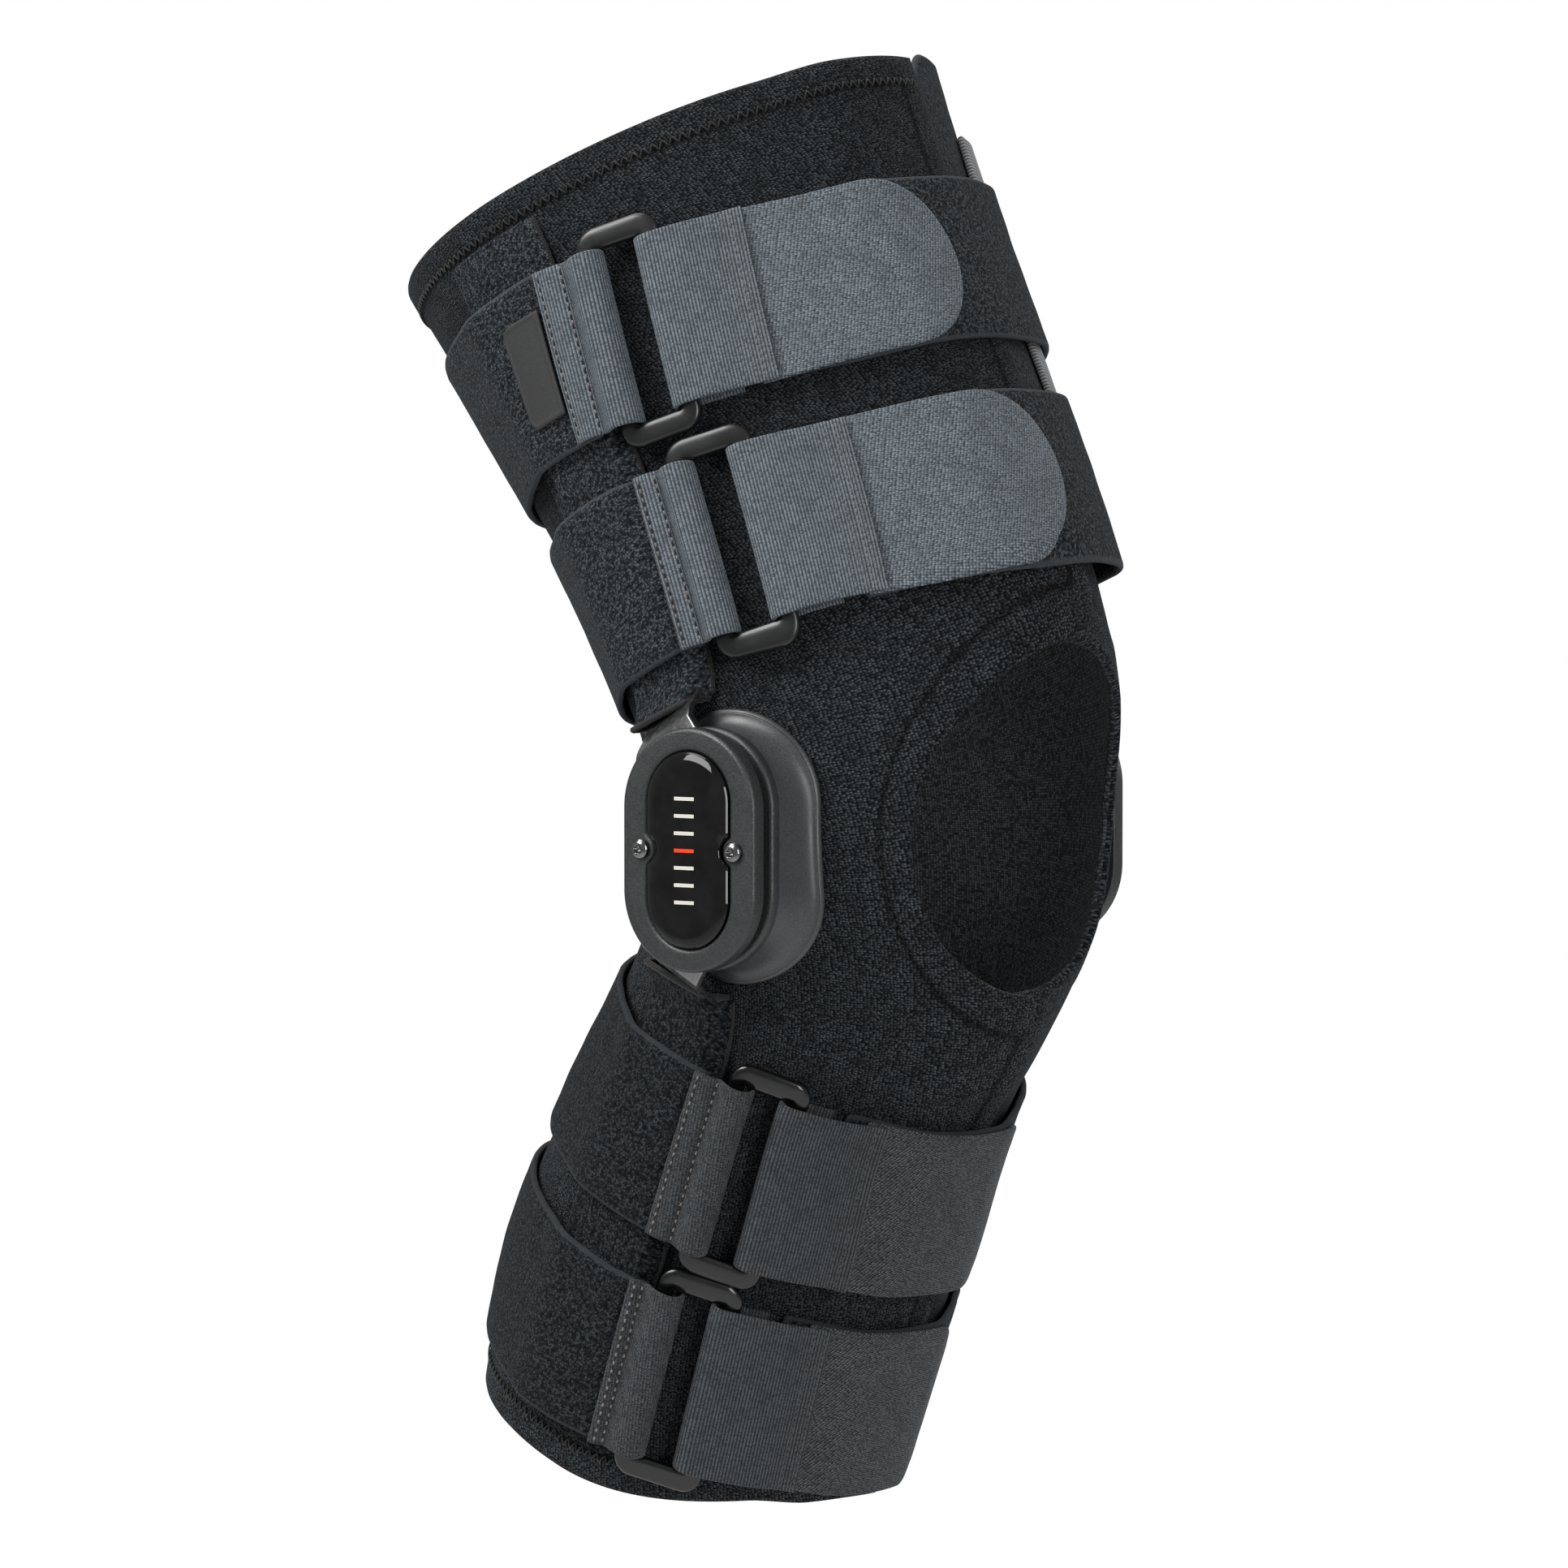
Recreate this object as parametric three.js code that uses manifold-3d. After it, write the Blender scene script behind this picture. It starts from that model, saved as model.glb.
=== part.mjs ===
// Hinged knee brace for a right leg, in the form it takes on a slightly bent knee.
// Millimetres. The origin is the middle of the knee, on the axis through both hinges.
// +X points to the front of the knee, +Z up, and -Y to the outer side of the leg.
import * as THREE from "three";
import { mergeVertices } from "three/addons/utils/BufferGeometryUtils.js";
import Module from "manifold-3d";

const wasm = await Module();
wasm.setup();
const rad = THREE.MathUtils.degToRad;
const deg = THREE.MathUtils.radToDeg;

// Driving dimensions of the leg's line and of the layers worn on it
const THIGH_LEAN = 25; // degrees that the thigh leans back from the vertical
const SHANK_LEAN = 24; // degrees that the shank leans back
const BEND_REACH = 52; // length of the leg's line, each side of the knee, over which it bends
const GAP = 0.3; // clearance between neighbouring pieces
const FACET_ROOM = 0.5; // extra height of a strap over the sleeve's flat facets
const LAYER_ROOM = 0.6; // extra height of a strap over the other layers
const SLEEVE_WALL = 3;
const HEM_RISE = 0.6; // how far a folded hem stands above the sleeve
const HEM_WIDTH = 10;
const BAND_WALL = 2; // plush strap
const WEB_WALL = 1.4; // grey elastic and hook tape
const STRAP_WIDTH = 50;

// Half sizes of the bare leg, by distance along its line from the knee, up the thigh or down the shank
const LEG_SECTIONS = [
  { station: -218, front: 56, back: 51.5, side: 58 },
  { station: -156, front: 51, back: 66, side: 60.5 },
  { station: -104, front: 47.5, back: 64.5, side: 61.5 },
  { station: -57, front: 46, back: 58.5, side: 61.5 },
  { station: 0, front: 65, back: 59.5, side: 64.5 },
  { station: 52, front: 74, back: 56.5, side: 66 },
  { station: 104, front: 75.5, back: 60, side: 69 },
  { station: 156, front: 76, back: 70.5, side: 72 },
  { station: 218, front: 80, back: 84, side: 75 },
];

// Each strap runs round the leg at its stations and closes on a plastic ring at the outer side.
// Angles run from 0 at the front through 90 at the outer side.
// Skew turns the ring on the leg, in degrees per millimetre across the strap.
const STRAPS = [
  {
    name: "thigh_upper", middle: 146, frontDrop: 8, skew: -0.1, ringAngle: 73.2,
    keeperEnd: 90, seam: 48.5, tabEnd: 5, cornerRadius: 25, on: "thigh",
  },
  {
    name: "thigh_lower", middle: 81.2, frontDrop: 8.8, skew: -0.08, ringAngle: 71.5,
    keeperEnd: 86.5, seam: 44, tabEnd: -3, cornerRadius: 25, on: "thigh",
  },
  {
    name: "calf_upper", middle: -87.5, frontDrop: 0, skew: 0.045, ringAngle: 63,
    keeperEnd: 83.5, seam: 29, tabEnd: -20, cornerRadius: 9, on: "calf",
  },
  {
    name: "calf_lower", middle: -152.3, frontDrop: -3.5, skew: 0.057, ringAngle: 62.5,
    keeperEnd: 80.5, seam: 27, tabEnd: -16, cornerRadius: 9, on: "calf",
  },
];

// Plastic ring that joins a strap's two ends
const RING_BAR = 4; // its bars are square with rounded edges
const RING_BEVEL = 1.2;
const RING_PITCH = 18; // between the middles of its two long bars
const RING_LENGTH = 62;
const RING_CORNER = 8;
const LOOP_RADIUS = 3.6; // middle of the webbing folded round a bar
const FOLD_LENGTH = 15; // elastic that lies under itself, from the bar
// Degrees of strap that a keeper laps over its band, that the elastic laps over its hook tab,
// and that lie bare between the folded elastic and the end of the band
const KEEPER_LAP = 3;
const SEAM_LAP = 5;
const BAND_SPACE = 2.5;

// Sleeve edges
const TOP_EDGE = { station: 199, rise: 2 }; // an edge rises by this much towards the front
const BOTTOM_EDGE = { station: -193, rise: 15 };
const OUTER_FRONT_EDGE = -8; // angle where the outer panel ends, on top
const INNER_FRONT_EDGE = 372; // the inner panel ends under it, this far round from the front
const KNEECAP = { station: 3, halfHeight: 32.5, halfAngle: 47.2 };
const OVERLAP_LIFT = SLEEVE_WALL + HEM_RISE + GAP; // the outer panel rides over the inner one
const LIFT_START = 34;
const LIFT_END = 17;

// Closure on the front of the thigh
const FLAP = { from: -9.5, to: -56, bottom: 58, top: 204, wall: 2, corner: 9 };
const STRIP = { from: -24, to: -46, bottom: 62, top: 180, wall: 2.5, corner: 0 };
const FLAP_BASE = SLEEVE_WALL + HEM_RISE + GAP;
const STRIP_BASE = FLAP_BASE + FLAP.wall + GAP;

// Hinge arms in their pockets, and the hinge
const ARM = { width: 23, wall: 3, end: 158, clear: 0.4 };
// Angle of an arm's middle where it leaves the hinge's bend, its turn per millimetre further on,
// and how far behind that it starts at its pocket's mouth
const ARM_LINE = {
  thigh: { angle: 97.3, turn: 0, bend: 5.7, reach: 18 },
  calf: { angle: 97.4, turn: -0.046, bend: 2.2, reach: 8 },
};
const POCKET = {
  frontMargin: -15.6, backMargin: 20.5, channel: 12.2, shoulder: 1.6, sag: 0.5, wall: 1.5,
  mouth: 45, lip: 8, hemSpace: 1, flare: 2, mouthRoom: 1,
};
const COVER = { halfWidth: 22.6, halfHeight: 34, wall: 5.2, edge: 1.8, lip: 0.6 };
const PLATE = { wall: 3.6, edge: 0.8 };
const BADGE = {
  halfWidth: 14.2, halfHeight: 27.6, recess: 1, dome: 1.8, notch: 4.3, shoulder: 2, crown: 5,
};
const PAD = { halfWidth: 26, halfHeight: 38.6, rim: 2.2 };
const SCREW = { x: 15.9, head: 2.9, height: 2.2, socket: 1.3 };
const PIVOT = { z: 13, pin: 4 };
// Distances from the middle of the knee to the faces of the hinge's layers
const PAD_FACE = 78.7;
const PLATE_FACE = PAD_FACE + GAP + PLATE.wall;
const ARM_FACE = PLATE_FACE + GAP + ARM.wall;
const COVER_BACK = ARM_FACE + GAP;
const COVER_FACE = COVER_BACK + COVER.wall;
const CUT = 5; // how far a cutter passes the face that it cuts

const LABEL = { from: 90.9, to: 101, bottom: 131, top: 161, wall: 1.2, corner: 3 };

// Heights above the bare leg of what a strap lies on
const SLEEVE_TOP = SLEEVE_WALL + FACET_ROOM;
const CHANNEL_TOP = SLEEVE_WALL + ARM.wall + 2 * ARM.clear + 1.2; // inside a pocket, over the edges of the arm
const POCKET_TOP = CHANNEL_TOP + POCKET.wall + LAYER_ROOM;
const OVERLAP_TOP = OVERLAP_LIFT + SLEEVE_WALL + HEM_RISE + LAYER_ROOM;
const FLAP_TOP = FLAP_BASE + FLAP.wall + LAYER_ROOM;
const STRIP_TOP = STRIP_BASE + STRIP.wall + LAYER_ROOM;
const BED_START = 72; // angle where a strap's bed begins, in front of the outer pocket
// Over a pocket, by the distance across it from the middle of the arm; a taut strap eases back to the leg
const POCKET_BED = [
  { across: -17, height: SLEEVE_WALL + POCKET.wall + 3.5 * GAP },
  { across: -POCKET.channel - 2 * GAP, height: POCKET_TOP },
  { across: 0, height: POCKET_TOP },
  { across: POCKET.channel + 2 * GAP, height: POCKET_TOP },
  { across: 24, height: 6.4 },
  { across: 38, height: 4.4 },
  { across: 58, height: SLEEVE_TOP },
];
// Over the closure at the front, by angle
const FRONT_BED = {
  thigh: [
    { angle: 290, height: SLEEVE_TOP + 1.4 },
    { angle: 300, height: FLAP_TOP },
    { angle: 312, height: STRIP_TOP - 1 },
    { angle: 318, height: STRIP_TOP },
    { angle: 333, height: STRIP_TOP },
    { angle: 341, height: STRIP_TOP - 0.8 },
  ],
  calf: [
    { angle: 325, height: SLEEVE_TOP },
    { angle: 338, height: 5 },
  ],
};
const LAP_BED = [
  { angle: 350, height: OVERLAP_TOP },
  { angle: 378, height: OVERLAP_TOP },
  { angle: 394, height: SLEEVE_TOP + 0.6 },
  { angle: 403, height: SLEEVE_TOP },
  { angle: 440, height: SLEEVE_TOP },
];

const finish = (color, roughness, metalness = 0) =>
  new THREE.MeshStandardMaterial({ color, roughness, metalness });
const FINISH = {
  sleeve: finish(0x17181a, 0.95),
  plush: finish(0x1c1d20, 1),
  web: finish(0x44484d, 0.85),
  hook: finish(0x4a4e53, 0.7),
  ribbed: finish(0x6f7679, 0.6),
  ring: finish(0x202123, 0.4),
  pad: finish(0x2c2d2f, 0.6),
  cover: finish(0x2a2b2d, 0.65),
  badge: finish(0x070708, 0.08),
  arm: finish(0x1a1b1d, 0.35, 0.6),
  screw: finish(0x2a2a2c, 0.25, 0.9),
  label: finish(0x4b4c4e, 0.7),
};

// Reads a column of a table between its rows, in straight steps
function between(rows, key, column, at) {
  const last = rows.length - 1;
  if (at <= rows[0][key]) return rows[0][column];
  if (at >= rows[last][key]) return rows[last][column];
  const i = rows.findIndex((row) => row[key] > at) - 1;
  const share = (at - rows[i][key]) / (rows[i + 1][key] - rows[i][key]);
  return rows[i][column] + share * (rows[i + 1][column] - rows[i][column]);
}

// Reads a half size of the leg on a smooth curve through its sections
function legSize(column, station) {
  const rows = LEG_SECTIONS;
  const last = rows.length - 1;
  const at = THREE.MathUtils.clamp(station, rows[0].station, rows[last].station);
  const i = Math.min(Math.max(rows.findIndex((row) => row.station > at) - 1, 0), last - 1);
  const index = at >= rows[last].station ? last - 1 : i;
  const slope = (k) => {
    const a = rows[Math.max(k - 1, 0)];
    const b = rows[Math.min(k + 1, last)];
    return (b[column] - a[column]) / (b.station - a.station);
  };
  const [from, to] = [rows[index], rows[index + 1]];
  const span = to.station - from.station;
  const t = (at - from.station) / span;
  const t2 = t * t;
  const t3 = t2 * t;
  return (
    (2 * t3 - 3 * t2 + 1) * from[column] +
    (t3 - 2 * t2 + t) * span * slope(index) +
    (3 * t2 - 2 * t3) * to[column] +
    (t3 - t2) * span * slope(index + 1)
  );
}

// The leg's middle line: straight along shank and thigh, with an arc through the knee
function legLine(station) {
  const start = rad((THIGH_LEAN - SHANK_LEAN) / 2);
  const turn = rad(THIGH_LEAN + SHANK_LEAN) / (2 * BEND_REACH);
  const onArc = THREE.MathUtils.clamp(station, -BEND_REACH, BEND_REACH);
  const lean = start + turn * onArc;
  const beyond = station - onArc;
  return {
    x: (Math.cos(lean) - Math.cos(start)) / turn - beyond * Math.sin(lean),
    z: (Math.sin(lean) - Math.sin(start)) / turn + beyond * Math.cos(lean),
    lean,
  };
}

// A point at a height above the bare leg
function onLeg(station, angle, height) {
  const line = legLine(station);
  const c = Math.cos(rad(angle));
  const reach = (legSize(c >= 0 ? "front" : "back", station) + height) * c;
  const side = (legSize("side", station) + height) * Math.sin(rad(angle));
  return new THREE.Vector3(
    line.x + reach * Math.cos(line.lean),
    -side,
    line.z + reach * Math.sin(line.lean),
  );
}

// Angle of the middle of a hinge arm and of its pocket
function armAngle(station) {
  const { angle, turn, bend, reach } = station > 0 ? ARM_LINE.thigh : ARM_LINE.calf;
  const beyond = Math.abs(station) - POCKET.mouth;
  return angle + turn * beyond + bend * Math.exp(-beyond / reach);
}

// Angle at a distance behind the middle of an arm, measured round the sleeve
function besideArm(station, across) {
  const steps = 40;
  const wide = legSize("side", station) + SLEEVE_WALL;
  let angle = armAngle(station);
  for (let step = 0; step < steps; step++) {
    const deep = legSize(angle < 90 ? "front" : "back", station) + SLEEVE_WALL;
    angle += deg(across / steps / Math.hypot(deep * Math.sin(rad(angle)), wide * Math.cos(rad(angle))));
  }
  return angle;
}

// Distance of the leg's outer side from the middle plane, under a point of that plane
function sideDistance(x, z, height) {
  const rounds = 12;
  let station = z;
  let reach = 0;
  for (let round = 0; round < rounds; round++) {
    const line = legLine(station);
    const dx = x - line.x;
    const dz = z - line.z;
    station += dz * Math.cos(line.lean) - dx * Math.sin(line.lean);
    reach = dx * Math.cos(line.lean) + dz * Math.sin(line.lean);
  }
  const half = legSize(reach >= 0 ? "front" : "back", station) + height;
  return (legSize("side", station) + height) * Math.sqrt(Math.max(0, 1 - (reach / half) ** 2));
}

// A closed geometry from points and triangles, turned to face out
function closed(points, triangles) {
  let volume = 0;
  for (const [a, b, c] of triangles) {
    volume += points[a].dot(points[b].clone().cross(points[c]));
  }
  const order = volume < 0 ? triangles.map(([a, b, c]) => [a, c, b]) : triangles;
  const geometry = new THREE.BufferGeometry().setFromPoints(points);
  geometry.setIndex(order.flat());
  geometry.computeVertexNormals();
  return geometry;
}

// A wall between two faces of columns by rows of points.
// place(i, j, face) gives the point at a column and row, on face 0 inside or 1 outside.
function wall(columns, rows, place) {
  const points = [];
  for (const face of [0, 1]) {
    for (let j = 0; j < rows; j++) {
      for (let i = 0; i < columns; i++) points.push(place(i, j, face));
    }
  }
  const at = (i, j, face) => (face * rows + j) * columns + i;
  const triangles = [];
  const quad = (a, b, c, d) => triangles.push([a, b, c], [a, c, d]);
  for (let j = 0; j < rows - 1; j++) {
    for (let i = 0; i < columns - 1; i++) {
      quad(at(i, j, 1), at(i + 1, j, 1), at(i + 1, j + 1, 1), at(i, j + 1, 1));
      quad(at(i, j, 0), at(i, j + 1, 0), at(i + 1, j + 1, 0), at(i + 1, j, 0));
    }
    quad(at(0, j, 0), at(0, j, 1), at(0, j + 1, 1), at(0, j + 1, 0));
    const end = columns - 1;
    quad(at(end, j, 1), at(end, j, 0), at(end, j + 1, 0), at(end, j + 1, 1));
  }
  for (let i = 0; i < columns - 1; i++) {
    quad(at(i, 0, 1), at(i, 0, 0), at(i + 1, 0, 0), at(i + 1, 0, 1));
    const end = rows - 1;
    quad(at(i, end, 0), at(i, end, 1), at(i + 1, end, 1), at(i + 1, end, 0));
  }
  return closed(points, triangles);
}

// A loft through closed loops of the same number of points, with fans at both ends
function loft(loops) {
  const count = loops[0].length;
  const points = loops.flat();
  const triangles = [];
  for (let k = 0; k < loops.length - 1; k++) {
    for (let i = 0; i < count; i++) {
      const next = (i + 1) % count;
      const [a, b] = [k * count + i, k * count + next];
      triangles.push([a, b, b + count], [a, b + count, a + count]);
    }
  }
  const lastLoop = (loops.length - 1) * count;
  for (let i = 1; i < count - 1; i++) {
    triangles.push([0, i + 1, i], [lastLoop, lastLoop + i, lastLoop + i + 1]);
  }
  return closed(points, triangles);
}

function toSolid(geometry) {
  const bare = geometry.clone();
  bare.deleteAttribute("normal");
  bare.deleteAttribute("uv");
  const merged = mergeVertices(bare, 1e-4);
  return new wasm.Manifold(
    new wasm.Mesh({
      numProp: 3,
      vertProperties: new Float32Array(merged.attributes.position.array),
      triVerts: new Uint32Array(merged.index.array),
    }),
  );
}

function fromSolid(solid) {
  const mesh = solid.getMesh();
  const geometry = new THREE.BufferGeometry();
  geometry.setAttribute("position", new THREE.BufferAttribute(new Float32Array(mesh.vertProperties), 3));
  geometry.setIndex(new THREE.BufferAttribute(new Uint32Array(mesh.triVerts), 1));
  geometry.computeVertexNormals();
  return geometry;
}

const brace = new THREE.Group();
function add(name, geometry, material, inner = false) {
  const mesh = new THREE.Mesh(geometry, material);
  mesh.name = name;
  if (inner) mesh.scale.y = -1;
  brace.add(mesh);
}

// Sleeve: one wrap from the outer panel's front edge round the back to the inner panel's front edge,
// with a notch in both edges that together leave the kneecap free
function sleeveRows() {
  const { station, halfHeight, halfAngle } = KNEECAP;
  const hem = (edge, inward) => ({ station: edge.station + inward, rise: edge.rise, notch: 0 });
  const belowKnee = [-165, -140, -112, -86, -60, -42].map((at) => ({
    station: at, rise: (BOTTOM_EDGE.rise * at) / BOTTOM_EDGE.station, notch: 0,
  }));
  const knee = [-90, -80, -66, -46, -23, 0, 23, 46, 66, 80, 90].map((turn) => ({
    station: station + halfHeight * Math.sin(rad(turn)), rise: 0, notch: halfAngle * Math.cos(rad(turn)),
  }));
  const aboveKnee = [54, 80, 106, 132, 158].map((at) => ({
    station: at, rise: (TOP_EDGE.rise * at) / TOP_EDGE.station, notch: 0,
  }));
  return [
    hem(BOTTOM_EDGE, 0), hem(BOTTOM_EDGE, HEM_WIDTH), ...belowKnee, ...knee, ...aboveKnee,
    hem(TOP_EDGE, -HEM_WIDTH), hem(TOP_EDGE, 0),
  ];
}

function sleeve() {
  const rows = sleeveRows();
  const columns = 27;
  const edges = rows.map(({ notch }) => {
    const share = notch / KNEECAP.halfAngle;
    return {
      outer: OUTER_FRONT_EDGE + share * (KNEECAP.halfAngle - OUTER_FRONT_EDGE),
      inner: INNER_FRONT_EDGE - share * (INNER_FRONT_EDGE - 360 + KNEECAP.halfAngle),
    };
  });
  return wall(columns, rows.length, (i, j, face) => {
    const { outer, inner } = edges[j];
    const hem = deg(HEM_WIDTH / legSize("front", rows[j].station));
    const share = (i - 1) / (columns - 3);
    let angle = outer + hem + share * (inner - outer - 2 * hem);
    if (i === 0) angle = outer;
    if (i === columns - 1) angle = inner;
    const station = rows[j].station + rows[j].rise * Math.max(0, Math.cos(rad(angle))) ** 2;
    const inHem = i < 2 || i > columns - 3 || j < 2 || j > rows.length - 3;
    const lift = OVERLAP_LIFT * (1 - THREE.MathUtils.smoothstep(angle, LIFT_END, LIFT_START));
    return onLeg(station, angle, lift + face * (SLEEVE_WALL + (inHem ? HEM_RISE : 0)));
  });
}
add("sleeve", sleeve(), FINISH.sleeve);

// A panel on the front of the thigh, with rounded corners
function frontPanel({ from, to, bottom, top, corner }, base, thick) {
  const steps = 8;
  const rows = 6;
  const cornerShares = [1, 0.25];
  return wall(steps + 1, rows, (i, j, face) => {
    const angle = from + ((to - from) * i) / steps;
    const inset = corner * (cornerShares[Math.min(i, steps - i)] ?? 0);
    const low = bottom + inset;
    const station = low + ((top - inset - low) * j) / (rows - 1);
    return onLeg(station, angle, base + face * thick(i / steps));
  });
}
add("thigh_closure_flap", frontPanel(FLAP, FLAP_BASE, () => FLAP.wall), FINISH.plush);
const stripCrown = (share) => STRIP.wall * (0.45 + 0.55 * Math.sin(Math.PI * share));
add("thigh_closure_strip", frontPanel(STRIP, STRIP_BASE, stripCrown), FINISH.ribbed);

// Pocket that sheathes a hinge arm: flat sewn margins and a raised middle, open towards the hinge
function pocket(direction) {
  const { frontMargin, backMargin, channel, shoulder } = POCKET;
  const low = SLEEVE_WALL + 2.5 * GAP;
  const profile = [
    { across: frontMargin, height: low },
    { across: -channel - shoulder, height: low },
    { across: -channel, height: CHANNEL_TOP },
    { across: 0, height: CHANNEL_TOP - POCKET.sag },
    { across: channel, height: CHANNEL_TOP },
    { across: channel + shoulder, height: low },
    { across: backMargin, height: low },
  ];
  const edge = direction > 0 ? TOP_EDGE : BOTTOM_EDGE;
  const end = Math.abs(edge.station) - HEM_WIDTH - POCKET.hemSpace;
  const rows = [POCKET.mouth, POCKET.mouth + POCKET.lip, 66, 90, 126, 160, end];
  const edges = [0, profile.length - 1];
  return wall(profile.length, rows.length, (i, j, face) => {
    const station = direction * rows[j];
    const { across, height } = profile[i];
    const room = j === 0 && !edges.includes(i) ? Math.sign(across) * POCKET.mouthRoom : 0;
    const flare = j === 0 && height > low ? POCKET.flare : 0;
    return onLeg(station, besideArm(station, across + room), height + flare + face * POCKET.wall);
  });
}

// Hinge arm: a flat bar from its pivot, joggled down into the pocket on the leg
const ARM_ROWS = [
  { along: 46, widthShare: 1 },
  { along: 53, widthShare: 1 },
  { along: 66, widthShare: 1 },
  { along: 90, widthShare: 1 },
  { along: 126, widthShare: 1 },
  { along: ARM.end - 6, widthShare: 1 },
  { along: ARM.end, widthShare: 0.55 },
];

function arm(direction) {
  const half = ARM.width / 2;
  const straightShare = 1.9;
  const start = direction * ARM_ROWS[0].along;
  const seat = onLeg(start, armAngle(start), 0);
  const pivot = new THREE.Vector3(0, 0, direction * PIVOT.z);
  const run = new THREE.Vector3(seat.x - pivot.x, 0, seat.z - pivot.z);
  const length = run.length();
  run.normalize();
  const across = new THREE.Vector3(run.z, 0, -run.x);
  const section = (middle, width, out, halfWidth) =>
    [[-1, 0], [1, 0], [1, 1], [-1, 1]].map(([side, face]) =>
      middle.clone().addScaledVector(width, side * halfWidth).addScaledVector(out, face * ARM.wall),
    );
  const outward = new THREE.Vector3(0, -1, 0);
  const loops = [];
  // Round end in the hinge, then straight out past its plates
  for (const share of [-0.97, -0.8, -0.5, 0, 1.1, straightShare]) {
    const middle = pivot.clone().addScaledVector(run, share * half).setY(-(ARM_FACE - ARM.wall));
    loops.push(section(middle, across, outward, half * Math.sqrt(1 - Math.min(share, 0) ** 2)));
  }
  const leaving = (straightShare * half) / length;
  // Ease down to the leg
  for (const share of [0.3, 0.7]) {
    const at = leaving + share * (1 - leaving);
    const middle = pivot.clone().addScaledVector(run, at * length);
    const low = sideDistance(middle.x, middle.z, SLEEVE_WALL + ARM.clear);
    const drop = THREE.MathUtils.smoothstep(share, -0.1, 1.05);
    middle.setY(-THREE.MathUtils.lerp(ARM_FACE - ARM.wall, low, drop));
    loops.push(section(middle, across, outward, half));
  }
  for (const row of ARM_ROWS) {
    const station = direction * row.along;
    const at = (turn, height) => onLeg(station, armAngle(station) + turn, height);
    const middle = at(0, SLEEVE_WALL + ARM.clear);
    const width = at(-1, 0).sub(at(1, 0)).normalize();
    const out = at(0, 1).sub(at(0, 0)).normalize();
    loops.push(section(middle, width.multiplyScalar(direction), out, half * row.widthShare));
  }
  const bore = new THREE.CylinderGeometry(PIVOT.pin + GAP, PIVOT.pin + GAP, 4 * CUT, 16);
  bore.translate(0, -ARM_FACE, direction * PIVOT.z);
  return fromSolid(toSolid(loft(loops)).subtract(toSolid(bore)));
}

// Loop of an oblong with round ends, at a distance from the middle of the knee
function oblong({ halfWidth, halfHeight }, inset, distance) {
  const sides = 24;
  const straight = halfHeight - halfWidth;
  return Array.from({ length: sides }, (_, k) => {
    const turn = (2 * Math.PI * (k + 0.5)) / sides;
    const lift = Math.sign(Math.sin(turn)) * straight;
    const radius = halfWidth - inset;
    return new THREE.Vector3(radius * Math.cos(turn), -distance, radius * Math.sin(turn) + lift);
  });
}

// An oblong plate on the outer side, through rows of inset and distance
const plate = (size, rows) => loft(rows.map(([inset, distance]) => oblong(size, inset, distance)));

function post(x, z, radius, from, to, sides = 16) {
  const geometry = new THREE.CylinderGeometry(radius, radius, to - from, sides);
  return geometry.translate(x, -(from + to) / 2, z);
}

// Dished pad between the hinge and the sleeve: its back follows the leg and its rim flares out
function hingePad() {
  const sides = 16;
  const rings = [
    { scale: 0.45, drop: 0 },
    { scale: 0.8, drop: 0 },
    { scale: 0.84, drop: 0.5 },
    { scale: 0.91, drop: 0.85 },
    { scale: 1, drop: 1 },
  ];
  const points = [];
  const back = (x, z) => sideDistance(x, z, SLEEVE_WALL + 2 * GAP);
  const place = (turn, scale) => {
    const straight = PAD.halfHeight - PAD.halfWidth;
    const lift = Math.sin(turn) >= 0 ? straight : -straight;
    return [PAD.halfWidth * Math.cos(turn) * scale, (PAD.halfWidth * Math.sin(turn) + lift) * scale];
  };
  for (const outside of [true, false]) {
    points.push(new THREE.Vector3(0, -(outside ? PAD_FACE : back(0, 0)), 0));
    for (const ring of rings) {
      for (let k = 0; k < sides; k++) {
        const [x, z] = place((2 * Math.PI * (k + 0.5)) / sides, ring.scale);
        const face = THREE.MathUtils.lerp(PAD_FACE, back(x, z) + PAD.rim, ring.drop);
        points.push(new THREE.Vector3(x, -(outside ? face : back(x, z)), z));
      }
    }
  }
  const half = 1 + rings.length * sides;
  const at = (outside, ring, k) => (outside ? 0 : half) + 1 + ring * sides + (k % sides);
  const triangles = [];
  for (const outside of [true, false]) {
    for (let k = 0; k < sides; k++) {
      const fan = [outside ? 0 : half, at(outside, 0, k), at(outside, 0, k + 1)];
      triangles.push(outside ? fan : [fan[0], fan[2], fan[1]]);
      for (let ring = 0; ring < rings.length - 1; ring++) {
        const [a, b] = [at(outside, ring, k), at(outside, ring, k + 1)];
        const [c, d] = [at(outside, ring + 1, k), at(outside, ring + 1, k + 1)];
        triangles.push(...(outside ? [[a, c, d], [a, d, b]] : [[a, d, c], [a, b, d]]));
      }
    }
  }
  const rim = rings.length - 1;
  for (let k = 0; k < sides; k++) {
    const [a, b] = [at(true, rim, k), at(true, rim, k + 1)];
    const [c, d] = [at(false, rim, k), at(false, rim, k + 1)];
    triangles.push([a, c, d], [a, d, b]);
  }
  return closed(points, triangles);
}

// Back plate with the two pivot pins standing on it
function hingePlate() {
  const body = toSolid(
    plate(COVER, [[0, PAD_FACE + GAP], [0, PLATE_FACE - PLATE.edge], [PLATE.edge, PLATE_FACE]]),
  );
  const pins = [-1, 1].map((end) =>
    toSolid(post(0, end * PIVOT.z, PIVOT.pin, PLATE_FACE - 1, COVER_BACK - GAP)),
  );
  return fromSolid(pins.reduce((joined, pin) => joined.add(pin), body));
}

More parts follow.
